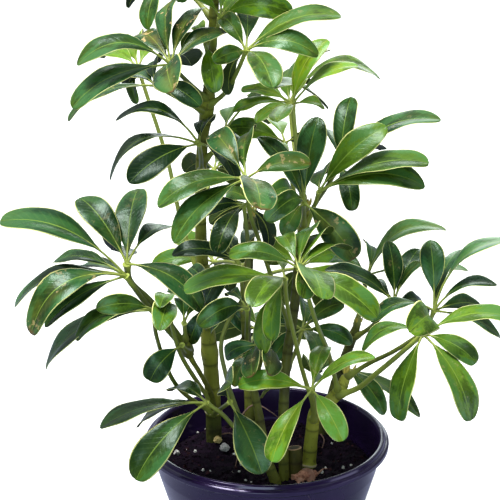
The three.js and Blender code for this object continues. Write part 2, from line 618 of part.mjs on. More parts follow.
// ---- pot and soil ----------------------------------------------------------------------
const RIM_OUTSIDE = [[79.2, 121.8], [RIM_RADIUS, 124.2], [79.4, 126.3], [76.8, POT_HEIGHT - 0.2]];
const RIM_INSIDE = [[75.2, POT_HEIGHT], [73.7, 127.4]];
const POT_OUTSIDE = [
  [0, 0],
  [BASE_RADIUS + BASE_EDGE, 0],
  [STEP_RADIUS, STEP_HEIGHT],
  [COLLAR_RADIUS, COLLAR_HEIGHT],
  [WAIST_RADIUS, WAIST_HEIGHT],
  [SHOULDER_RADIUS, SHOULDER_HEIGHT],
];
const POT_INSIDE = [
  [SHOULDER_RADIUS - POT_WALL, SHOULDER_HEIGHT - 1],
  [WAIST_RADIUS - POT_WALL, WAIST_HEIGHT],
  [COLLAR_RADIUS - POT_WALL, COLLAR_HEIGHT],
  [STEP_RADIUS - POT_WALL, STEP_HEIGHT],
  [BASE_RADIUS + BASE_EDGE - POT_WALL, FLOOR_THICKNESS],
  [0, FLOOR_THICKNESS],
];

function lathe(profile) {
  const points = profile.map(([radius, height]) => new THREE.Vector2(radius, height));
  const geometry = new THREE.LatheGeometry(points, POT_SIDES);
  geometry.rotateX(Math.PI / 2);
  return solidFromGeometry(geometry);
}

function potSolid() {
  let pot = lathe([...POT_OUTSIDE, ...RIM_OUTSIDE, ...RIM_INSIDE, ...POT_INSIDE]);
  for (let i = 0; i < DRAIN_HOLES; i += 1) {
    const turn = (2 * Math.PI * (i + 0.5)) / DRAIN_HOLES;
    const drill = new THREE.CylinderGeometry(DRAIN_RADIUS, DRAIN_RADIUS, DRAIN_CUT, DRAIN_SIDES);
    drill.rotateX(Math.PI / 2);
    drill.translate(DRAIN_RING * Math.cos(turn), DRAIN_RING * Math.sin(turn), 0);
    pot = pot.subtract(solidFromGeometry(drill));
  }
  return pot;
}

function soilHeight(x, y) {
  let height = SOIL_LEVEL;
  for (const [rise, across, startAcross, away, startAway] of SOIL_WAVES) {
    height += rise * Math.sin(x * across + startAcross) * Math.cos(y * away + startAway);
  }
  return height;
}

function soilSkin() {
  const sideProfile = [
    [BASE_RADIUS + BASE_EDGE - POT_WALL - GAP, FLOOR_THICKNESS + GAP],
    [STEP_RADIUS - POT_WALL - GAP, STEP_HEIGHT],
    [COLLAR_RADIUS - POT_WALL - GAP, COLLAR_HEIGHT],
  ];
  const rings = [];
  for (const [radius, height] of sideProfile) {
    const ring = [];
    for (let k = 0; k < POT_SIDES; k += 1) {
      const turn = (2 * Math.PI * k) / POT_SIDES;
      ring.push(new THREE.Vector3(radius * Math.sin(turn), radius * Math.cos(turn), height));
    }
    rings.push(ring.reverse());
  }
  for (let step = SOIL_RINGS; step >= 1; step -= 1) {
    const radius = (SOIL_EDGE_RADIUS * step) / SOIL_RINGS;
    const ring = [];
    for (let k = 0; k < POT_SIDES; k += 1) {
      const turn = (2 * Math.PI * k) / POT_SIDES;
      const x = radius * Math.sin(turn);
      const y = radius * Math.cos(turn);
      const edge = step === SOIL_RINGS ? SOIL_EDGE_LEVEL : soilHeight(x, y);
      ring.push(new THREE.Vector3(x, y, edge));
    }
    rings.push(ring.reverse());
  }
  return skinFrom(rings, new THREE.Vector3(0, 0, soilHeight(0, 0)));
}

// ---- assembly --------------------------------------------------------------------------
const materials = {
  pot: { color: 0x23203a, roughness: 0.35, metalness: 0 },
  soil: { color: 0x1a1216, roughness: 0.95, metalness: 0 },
  cane: { color: 0x6d7a30, roughness: 0.6, metalness: 0 },
  stub: { color: 0x5a5a34, roughness: 0.75, metalness: 0 },
  leaf: { color: 0x3f7a2c, roughness: 0.35, metalness: 0 },
  youngLeaf: { color: 0x74ac35, roughness: 0.35, metalness: 0 },
};
const YOUNG = new Set(["frond_light_1", "frond_low_3"]);

const plant = new THREE.Group();

function addPiece(name, solid, look) {
  const material = new THREE.MeshStandardMaterial(materials[look]);
  const mesh = new THREE.Mesh(geometryFrom(solid), material);
  mesh.name = name;
  plant.add(mesh);
}

const pot = potSolid();
const stemSkins = Object.values(STEMS).map((stem) => stemRod(stem, GAP + FACET_SPARE));
const stemShells = stemSkins.map((skin) => solidOf(skin));
const stemSolids = {};
for (const [name, stem] of Object.entries(STEMS)) {
  stemSolids[name] = solidOf(stemRod(stem));
}
stemSolids.trunk = stemSolids.trunk.add(stemSolids.left_shoot);
const soilBlock = soilSkin();
let soil = solidOf(soilBlock);
for (const shell of stemShells) {
  soil = soil.subtract(shell);
}
soil = largestBody(soil);

// The leaf stalks, each trimmed where it meets the stem that bears it.
const potMesh = pot.getMesh();
const potSkin = {
  positions: Array.from(potMesh.vertProperties),
  triangles: Array.from(potMesh.triVerts),
};
potSkin.box = boxOf(potSkin.positions, 0, potSkin.positions.length / 3);
const fixed = [potSkin, soilBlock, ...stemSkins];
const stalks = FRONDS.map((frond) => {
  const hub = place(frond.hub);
  const root = pointOnStem(STEMS[frond.from], frond.at);
  const way = frond.way.map((mark) => place(mark));
  const points = [hub, ...way, root];
  const axis = hub.clone().sub(way[0]).normalize().multiplyScalar(STALK_TILT).add(UP).normalize();
  return {
    frond,
    hub,
    axis,
    skin: rod(points, STALK_RADII, STALK_SIDES, way.length + 2),
    shell: rod(points, STALK_RADII, STALK_SIDES, way.length + 2, GAP + FACET_SPARE),
    blades: [],
  };
});

// Front leaflets first: each is bent forward or back along its sight line until it is clear.
const queue = [];
for (const stalk of stalks) {
  for (const leaflet of stalk.frond.leaflets) {
    queue.push({ stalk, leaflet, depth: stalk.hub.y + leaflet[2] * LEAN_DEPTH });
  }
}
queue.sort((a, b) => a.depth - b.depth);
for (const { stalk, leaflet } of queue) {
  const length = stalk.frond.length ?? LEAFLET_LENGTH;
  const others = fixed.slice();
  const siblings = [];
  for (const other of stalks) {
    if (other !== stalk) {
      others.push(other.shell, ...other.blades.map((blade) => blade.whole));
    } else {
      siblings.push(...other.blades.map((blade) => blade.outer));
    }
  }
  let placed = false;
  for (let attempt = 0; attempt < 2 * BEND_TRIES && !placed; attempt += 1) {
    const sign = attempt % 2 === 0 ? 1 : -1;
    const shift = sign * Math.ceil(attempt / 2) * BEND_STEP;
    const frame = leafletFrame(stalk.hub, stalk.axis, leaflet, length, shift);
    const test = leafletSkin(frame, GAP);
    const outer = leafletSkin(frame, GAP, true);
    placed = !others.some((other) => skinsMeet(test, other));
    placed = placed && !siblings.some((other) => skinsMeet(outer, other));
    if (placed) {
      stalk.blades.push({ whole: leafletSkin(frame), outer: leafletSkin(frame, 0, true) });
    }
  }
}

addPiece("pot", pot, "pot");
addPiece("soil", soil, "soil");
addPiece("trunk", stemSolids.trunk, "cane");
for (const name of ["right_cane", "middle_cane", "front_cane", "back_cane", "far_cane"]) {
  addPiece(name, stemSolids[name], "cane");
}
addPiece("cut_stub", stemSolids.cut_stub, "stub");

const finished = [];
for (const stalk of stalks) {
  let solid = solidOf(stalk.skin);
  const knob = new THREE.OctahedronGeometry(HUB_RADIUS, 0);
  knob.translate(stalk.hub.x, stalk.hub.y, stalk.hub.z);
  solid = solid.add(solidFromGeometry(knob));
  for (const blade of stalk.blades) {
    solid = solid.add(solidOf(blade.whole));
  }
  for (const shell of stemShells) {
    solid = solid.subtract(shell);
  }
  const box = solid.boundingBox();
  for (const other of finished) {
    if (boxesMeet(box, other.box)) {
      solid = solid.subtract(other.shell);
    }
  }
  solid = largestBody(solid);
  finished.push({ shell: solidOf(stalk.shell), box: stalk.shell.box });
  addPiece(stalk.frond.name, solid, YOUNG.has(stalk.frond.name) ? "youngLeaf" : "leaf");
}
export default plant;
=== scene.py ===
"""The looks of a dwarf umbrella plant in its nursery pot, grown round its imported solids.

Sizes are in millimetres until a mesh is made, and the frame is the part's own: +Z up, +Y away.
"""

import math

import bmesh
import bpy
import numpy as np
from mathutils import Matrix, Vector, noise


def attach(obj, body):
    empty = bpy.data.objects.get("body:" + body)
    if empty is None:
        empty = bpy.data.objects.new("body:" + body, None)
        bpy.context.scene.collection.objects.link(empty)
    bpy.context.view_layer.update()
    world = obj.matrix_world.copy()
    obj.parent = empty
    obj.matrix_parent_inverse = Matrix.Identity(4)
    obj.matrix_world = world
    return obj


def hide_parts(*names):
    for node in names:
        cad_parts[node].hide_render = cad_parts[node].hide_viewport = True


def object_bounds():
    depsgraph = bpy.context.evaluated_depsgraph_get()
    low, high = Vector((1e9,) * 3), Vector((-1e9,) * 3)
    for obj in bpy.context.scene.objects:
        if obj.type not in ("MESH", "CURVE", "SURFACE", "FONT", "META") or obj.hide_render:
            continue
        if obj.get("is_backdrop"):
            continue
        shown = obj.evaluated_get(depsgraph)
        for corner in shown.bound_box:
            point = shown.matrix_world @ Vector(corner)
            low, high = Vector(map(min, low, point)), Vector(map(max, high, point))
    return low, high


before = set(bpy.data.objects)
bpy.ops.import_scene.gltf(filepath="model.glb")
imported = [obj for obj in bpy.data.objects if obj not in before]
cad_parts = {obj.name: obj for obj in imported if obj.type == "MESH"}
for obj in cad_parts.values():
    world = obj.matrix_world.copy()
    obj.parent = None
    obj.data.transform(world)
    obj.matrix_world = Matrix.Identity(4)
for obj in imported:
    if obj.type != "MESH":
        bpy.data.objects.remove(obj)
cad_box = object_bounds()

MM = 0.001
UP = np.array([0.0, 0.0, 1.0])

# ---- where the plant is seen from ------------------------------------------------------
# A mark is (across, down, depth): across and down count picture steps from the top left
# corner of a 500-step picture, and depth is +Y in millimetres.
EYE = np.array([-11.2, -1002.2, 597.5])
EYE_PITCH = math.radians(18.8)
LENS = 120.0
SENSOR = 36.0
CLIP_END = 60.0
STEPS_PER_UNIT = 1666.7
PICTURE_MIDDLE = 250.0
AHEAD = np.array([0.0, math.cos(EYE_PITCH), -math.sin(EYE_PITCH)])
ALOFT = np.array([0.0, math.sin(EYE_PITCH), math.cos(EYE_PITCH)])

# ---- studio, in metres -----------------------------------------------------------------
AIR_STRENGTH = 1.0
AIR_BRIGHT_WAY = (-0.15, 0.35, 0.92)
AIR_RAMP = (0.0, 1.0)
AIR_DIM = (0.045, 0.055, 0.050, 1)
AIR_BRIGHT = (0.52, 0.60, 0.60, 1)
BACKDROP = (1.0, 1.0, 1.0, 1)
FLOOR_REACH = 9.0
FLOOR_PAINT = (0.92, 0.92, 0.92, 1)
FLOOR_IN_GLOSS = (0.20, 0.21, 0.32, 1)
LIT_SPOT = (0.0, 0.0, 0.25)
# A light is (kind, where it stands, its width in metres or a sun's in degrees, power, tint).
LIGHTS = {
    "key_sun": ("SUN", (-0.5, -0.1, 2.0), 30.0, 4.8, (1.0, 0.99, 0.95)),
    "front_softbox": ("AREA", (-0.3, -1.7, 0.55), 1.0, 9.0, (0.78, 1.0, 0.92)),
    "side_softbox": ("AREA", (1.7, -0.5, 0.30), 1.0, 5.0, (0.82, 0.88, 1.0)),
    "back_softbox": ("AREA", (0.2, 1.6, 0.75), 1.0, 6.5, (0.90, 1.0, 0.94)),
    "low_softbox": ("AREA", (0.15, -0.9, 0.02), 0.16, 0.8, (0.80, 0.78, 1.0)),
}

# ---- pot and soil ----------------------------------------------------------------------
POT_HEIGHT = 129.0
RIM_RADIUS = 80.4
BASE_RADIUS = 55.0
STEP_RADIUS = 64.9
STEP_HEIGHT = 84.0
COLLAR_RADIUS = 66.5
COLLAR_HEIGHT = 87.5
SWELL_RADIUS = 72.7
SWELL_HEIGHT = 108.0
SHOULDER_RADIUS = 74.3
SHOULDER_HEIGHT = 120.8
POT_WALL = 1.7
FLOOR_THICKNESS = 2.0
POT_SIDES = 144
FILLET_STEPS = 4
SHARP_ANGLE = 38
SEAM_WELD = 0.02
DOUBLES_WELD = 0.005
DRAIN_HOLES = 6
DRAIN_RADIUS = 4.2
DRAIN_RING = 46.0
DRILL_SIDES = 20
DRILL_DEPTH = 12.0
SOIL_GAP = 0.4
SOIL_LEVEL = 108.0
SOIL_EDGE_RADIUS = 69.4
SOIL_EDGE_LEVEL = 104.5
SOIL_EDGE_WIDTH = 9.0
SOIL_RINGS = 34
SOIL_SIDES = 120
SOIL_SIGHTINGS = 6
SOIL_SEED = 21
# The soil's swells: (height, waves across, their start, waves away, their start).
SOIL_WAVES = ((1.5, 0.11, 0.7, 0.13, -0.4), (1.3, 0.31, 0.2, 0.37, 1.1))
# Its clods: how high the largest are, then for each size (share of that, scale, noise layer).
SOIL_CLODS = 1.3
CLOD_SIZES = ((1.0, 0.16, 3.0), (0.6, 0.42, 8.0))
STRAY_GRAINS = 9
STRAY_SPREAD = (0.02, 0.94)
STRAY_RADII = (0.5, 1.2)
# How far the middle of a grain or lump stands over the soil, as a share of its radius.
STRAY_RISE = 0.4
PERLITE_RISE = 0.5
LUMP_RISE = 0.7
CROWN_RISE = 0.1
# What is told to the trees that strew or place the grains.
LOOSE_GRAINS = {
    "soil_crumbs": {"Density": 62000.0, "Smallest": 0.4 * MM, "Largest": 1.5 * MM, "Seed": 3,
                    "Subdivisions": 1, "Lumpiness": 1.5},
    "bark_chips": {"Density": 5200.0, "Smallest": 0.9 * MM, "Largest": 2.2 * MM, "Seed": 9,
                   "Subdivisions": 1, "Lumpiness": 2.6},
    "perlite": {"Subdivisions": 2, "Lumpiness": 1.6, "Seed": 5},
    "lumps": {"Subdivisions": 3, "Lumpiness": 1.0, "Seed": 5},
}

# ---- leaves ----------------------------------------------------------------------------
LEAF_SEED = 7
LEAFLET_SLENDERNESS = 0.34
LEAFLET_ARCH = 7.0
LEAST_LIFT = 0.35
BEND_STEP = 5.0
BEND_TRIES = 9
TIP_MATCH = 0.3
KNEE_SHARE = 0.58
STALK_TILT = 0.35
STALK_RADIUS = 1.25
STALK_SPREAD = 0.35
HUB_SWELL = 0.65
HUB_LENGTH = 2.4
BASE_SWELL = 1.3
BASE_SPOT = 3.0
BASE_LENGTH = 5.0
STALK_PALENESS = 0.95
PALE_LENGTH = 9.0
BASE_PALE_LENGTH = 12.0
SCAR_LENGTH = 6.0
STALK_SHARE = 0.13
RIB_PALENESS = 0.75
RIB_END = 0.94
RIB_SINK = 0.42
RIB_RADII = (1.0, 0.78, 0.62, 0.42, 0.1)
BLADE_SHOULDER = 0.06
BLADE_OUTLINE = (
    (0.0, 0.02), (0.045, 0.05), (0.12, 0.19), (0.22, 0.46), (0.34, 0.73), (0.46, 0.91),
    (0.58, 1.0), (0.70, 0.98), (0.80, 0.88), (0.88, 0.71), (0.94, 0.51), (0.98, 0.28), (1.0, 0.0),
)
MARGIN_WELD = 0.01
WIDEST_LEAST = 0.78
WIDEST_SPREAD = 0.4
# Each draws another number out of a leaflet's seed.
WIDEST_DRAW = 11.9
BLUNT_DRAW = 7.3
WORN_DRAW = 5.7
# The waves along a blade's margins: how their number strays, their start and their slant.
WAVE_STRAY = 5.0
WAVE_START = 37.0
WAVE_SLANT = 1.1
# Where each soft step on a leaflet begins and ends.
ZONES = {
    "blunt": (0.55, 0.75), "blunt odds": (0.3, 0.9), "groove": (0.02, 0.2),
    "rib edge": (0.45, 1.4), "vein edge": (0.55, 1.0), "vein fade": (0.55, 0.95),
    "warm middle": (0.1, 0.9), "warm tip": (0.72, 1.0), "sheen_streak": (0.2, 0.8),
    "worn odds": (0.2, 0.9), "burnt tip": (0.955, 0.99), "burnt odds": (0.1, 0.3),
}
# The painted sheen streaks: how many fit along a leaflet, and how far apart each leaflet's own pattern
# lies.
SHEEN_STREAK_LENGTHS = 2.2
SHEEN_STREAK_LAYERS = 50.0
# How much of each layer shows on a leaflet, where it lies at all.
SHARES = {
    "seed": 0.5, "sheen_streak": 0.36, "tip sheen streak": 0.32, "side vein": 0.05, "midrib": 0.75,
    "back midrib": 0.6, "bleach": 0.5, "margin": 0.92, "burnt": 0.8,
}
TONE_STRAY = (-0.12, 0.14)
LEAST_WORN = 0.15

# ---- stems, buds and roots -------------------------------------------------------------
PATH_SAMPLES = 30
PATH_STEP = 2.6
STEM_SAMPLES = 300
CANE_STEP = 1.3
CANE_SIDES = 18
CANE_SEED = 11
# How wide and how high the rings of each kind stand round a stem.
STEM_RINGS = {"scars": (0.9, 0.16), "collars": (1.3, 0.9), "knots": (7.0, 0.9)}
RING_STRAY = 0.3
COLLAR_PALENESS = 2.2
UNEVEN = 0.12
UNEVEN_WAVES = (0.31, 0.117)
PLAIN_PALENESS = [(0, 0.2)]
# The rings that close a cut end: the share of the stem's radius, and how pale.
CUT_RINGS = ((1.0, 0.9), (0.96, 1.0), (0.86, 0.6), (0.6, 0.0), (0.2, 0.0))
CUT_STEP = 0.1
CANE_PIECES = {
    "trunk": ("trunk", "left_shoot"), "right_cane": ("right_cane",),
    "middle_cane": ("middle_cane",), "front_cane": ("front_cane",), "back_cane": ("back_cane",),
    "far_cane": ("far_cane",), "cut_stub": ("cut_stub",),
}
TIP_LENGTH = 1.2
BUD_SINK = 2.0
BUD_STRAY = 0.4
BUD_LENGTHS = (0.7, 1.1)
BUD_LEAN = 0.3
BUD_WIDTH = 1.1
BUD_POINT = 0.08
BUD_STEP = 0.8
BUD_SIDES = 10
BUD_SEED = 31
ROOT_SIDES = 12
ROOT_PALENESS = 0.4

# ---- colours ---------------------------------------------------------------------------
# On a blade, the teal and streak colours are painted sheen, and the underside colours are kept darker than
# a real underside, as painted shade.
LEAF_COLOURS = {
    "deep": (0.006, 0.026, 0.005, 1), "green": (0.020, 0.074, 0.009, 1),
    "sheen_streak": (0.066, 0.205, 0.054, 1), "cool_sheen": (0.020, 0.104, 0.036, 1),
    "warm": (0.130, 0.215, 0.008, 1), "young": (0.20, 0.37, 0.012, 1),
    "vein": (0.26, 0.40, 0.055, 1), "margin": (1.0, 1.0, 0.38, 1),
    "spot": (0.62, 0.44, 0.20, 1), "bleached": (0.30, 0.20, 0.03, 1),
    "burnt": (0.16, 0.08, 0.03, 1), "back": (0.014, 0.028, 0.014, 1),
    "back_light": (0.036, 0.064, 0.030, 1), "back_young": (0.12, 0.18, 0.025, 1),
}
# The young skin's teal and streak colours are painted sheen as well.
YOUNG_COLOURS = {
    **LEAF_COLOURS,
    "deep": (0.030, 0.105, 0.006, 1), "green": (0.075, 0.19, 0.009, 1),
    "sheen_streak": (0.130, 0.40, 0.062, 1), "cool_sheen": (0.050, 0.26, 0.070, 1),
    "warm": (0.26, 0.38, 0.008, 1), "young": (0.26, 0.40, 0.010, 1),
    "vein": (0.46, 0.56, 0.07, 1), "back": (0.09, 0.16, 0.02, 1),
    "back_light": (0.16, 0.24, 0.03, 1),
}
CANE_COLOURS = {
    "dark": (0.034, 0.036, 0.011, 1), "light": (0.110, 0.128, 0.023, 1),
    "pale": (0.52, 0.54, 0.070, 1), "cork": (0.085, 0.070, 0.026, 1),
    "scar": (0.040, 0.032, 0.014, 1), "ring": (0.86, 0.74, 0.46, 1),
    "foot": (0.030, 0.013, 0.020, 1),
}
STUB_COLOURS = {
    **CANE_COLOURS, "dark": (0.035, 0.036, 0.010, 1), "light": (0.105, 0.095, 0.020, 1),
    "pale": (0.70, 0.42, 0.26, 1), "scar": (0.030, 0.010, 0.018, 1),
}
THIN_ROOT_COLOURS = {
    **CANE_COLOURS,
    "dark": (0.080, 0.036, 0.030, 1), "light": (0.24, 0.12, 0.095, 1), "pale": (0.40, 0.27, 0.21, 1),
    "cork": (0.11, 0.06, 0.04, 1), "scar": (0.05, 0.03, 0.02, 1), "ring": (0.3, 0.2, 0.14, 1),
}
THICK_ROOT_COLOURS = {
    **THIN_ROOT_COLOURS, "dark": (0.24, 0.082, 0.055, 1), "light": (0.72, 0.36, 0.25, 1),
}
STALK_COLOURS = {
    "dark": (0.058, 0.080, 0.015, 1), "light": (0.180, 0.220, 0.034, 1),
    "pale": (0.50, 0.58, 0.11, 1), "bud": (0.74, 0.62, 0.11, 1),
    "cork": (0.14, 0.1, 0.04, 1), "scar": (0.085, 0.075, 0.022, 1),
}
POT_COLOURS = {
    "dark": (0.014, 0.006, 0.036, 1), "light": (0.028, 0.013, 0.066, 1), "dust": (0.16, 0.11, 0.09, 1),
}
# Soil finishes as (name, dark, light, grain in metres), then grains as (name, dark, light).
SOIL_LOOKS = (
    ("peat_soil", (0.003, 0.001, 0.006, 1), (0.013, 0.004, 0.016, 1), 0.006),
    ("peat_crumb", (0.004, 0.001, 0.006, 1), (0.022, 0.008, 0.022, 1), 0.003),
    ("bark_chip", (0.012, 0.004, 0.009, 1), (0.060, 0.022, 0.030, 1), 0.004),
)
GRAIN_LOOKS = (
    ("white_perlite", (0.80, 0.78, 0.76, 1), (0.97, 0.97, 0.96, 1)),
    ("grey_lump", (0.40, 0.36, 0.40, 1), (0.86, 0.82, 0.84, 1)),
    ("yellow_lump", (0.55, 0.38, 0.12, 1), (0.92, 0.74, 0.36, 1)),
)

# ---- what the trees are told -----------------------------------------------------------
GUIDE_VECTORS = ("hub", "knee", "tip", "side")
GUIDE_NUMBERS = (
    "half_width", "thickness", "grain_size", "tone", "seed", "worn", "scar", "leaflet_here",
    "blade_start",
)
SPARE_NUMBERS = (
    "half_width", "thickness", "grain_size", "leaflet_here", "blade_start", "outline_at",
)
# A tree's socket is given by its kind, or by the type of the value that it starts from.
SOCKETS = {
    "geometry": "NodeSocketGeometry", "material": "NodeSocketMaterial",
    "vector": "NodeSocketVector", "number": "NodeSocketFloat", "colour": "NodeSocketColor",
    int: "NodeSocketInt", float: "NodeSocketFloat", tuple: "NodeSocketColor",
}
GRAIN_INPUTS = {"Subdivisions": 1, "Lumpiness": 1.2, "Seed": 1, "Material": "material"}

# ---- the plant -------------------------------------------------------------------------
# A stem's marks end with its radius in mm. scars, collars and knots are down marks: brown
# rings, pale ones and swellings. paleness is how yellow its bark is at some down marks; below 0
# it turns the bark to a dark plum-brown foot, partly the woody base's colour and partly painted shade.
STEMS = {
    "trunk": {
        "marks": [
            (216, 480, 29, 5.2), (214, 441, 33, 5.3), (213, 400, 32, 5.2), (209, 345, 29, 5.0),
            (204, 290, 26, 4.4), (201, 235, 23, 3.8), (202, 150, 17, 3.5), (208, 100, 12, 3.6),
            (211, 60, 9, 3.2), (214, 10, 7, 2.9), (215, -30, 6, 2.5),
        ],
        "scars": [450, 428, 386, 362, 341, 322, 300, 281, 262, 240, 222, 205, 186, 170, 158,
                  140, 122, 108, 98, 86, 72, 56, 44, 30, 16, 4, -10, -22],
        "paleness": [(-30, 0.4), (90, 0.35), (103, 0.8), (118, 0.4), (205, 0.5), (290, 0.55),
                     (345, 0.7), (400, 0.6), (409, 0.1), (418, -0.6), (480, -0.9)],
        "collars": [410],
        "knots": [100, 112, 352],
    },
    "left_shoot": {
        "marks": [
            (214, 411, 31, 2.1), (211, 394, 20, 1.7), (200, 373, 6, 1.6),
            (191, 358, -5, 1.8), (188, 349, -10, 2.7), (185, 341, -13, 2.1),
        ],
        "scars": [354, 346],
        "paleness": [(341, 0.8), (352, 1.0), (362, 0.4), (411, 0.1)],
    },
    "right_cane": {
        "marks": [
            (305, 500, -11, 4.8), (308, 478, -9, 4.7), (309, 464, -7, 4.6), (312, 432, -7, 4.3),
            (316, 412, -8, 4.5), (331, 400, -8, 4.1), (341, 388, -6, 4.0), (347, 374, -3, 3.0),
        ],
        "scars": [449, 428, 412, 404, 395, 386],
        "paleness": [(374, 1.0), (412, 0.9), (426, 1.0), (432, 0.85), (460, 0.8), (470, 0.1)],
        "collars": [464],
    },
    "middle_cane": {
        "marks": [
            (282, 505, -28, 3.6), (284, 478, -25, 3.5), (283, 440, -22, 3.4), (286, 366, -14, 3.2),
            (294, 310, -9, 3.1), (299, 262, -6, 3.0), (304, 226, -5, 3.3), (306, 206, -4, 2.4),
        ],
        "scars": [462, 446, 425, 402, 378, 352, 330, 309, 290, 272, 255, 242, 232, 222, 214],
        "paleness": [(206, 0.8), (236, 0.4), (280, 0.1), (420, 0.15), (478, 0.2)],
    },
    "front_cane": {
        "marks": [
            (279, 510, -35, 3.6), (276, 484, -31, 3.6), (268, 462, -28, 3.4), (258, 410, -24, 2.7),
            (246, 350, -22, 2.1), (243, 310, -22, 1.7),
        ],
        "scars": [470, 455, 438, 420, 401, 384, 366, 350, 336, 322],
    },
    "back_cane": {
        "marks": [
            (321, 478, 42, 3.6), (324, 433, 45, 3.6), (334, 388, 51, 3.3), (345, 357, 55, 3.1),
            (354, 334, 55, 3.2), (358, 322, 54, 2.2),
        ],
        "scars": [452, 436, 418, 400, 384, 370, 356, 345, 334],
        "paleness": [(322, 0.1), (478, 0.0)],
    },
    "far_cane": {
        "marks": [
            (250, 460, 50, 3.8), (250, 410, 55, 3.7), (247, 350, 62, 3.3), (246, 300, 66, 3.1),
            (250, 250, 70, 2.9), (252, 215, 72, 2.3),
        ],
        "scars": [440, 418, 396, 372, 350, 330, 308, 288, 268, 250, 234, 222],
    },
    "cut_stub": {
        "marks": [(296, 504, -24, 5.0), (295, 476, -20, 5.0), (295, 460, -19, 4.9), (294, 448, -18, 4.9)],
        "scars": [462],
        "paleness": [(440, 0.0)],
        "cut": True,
    },
}
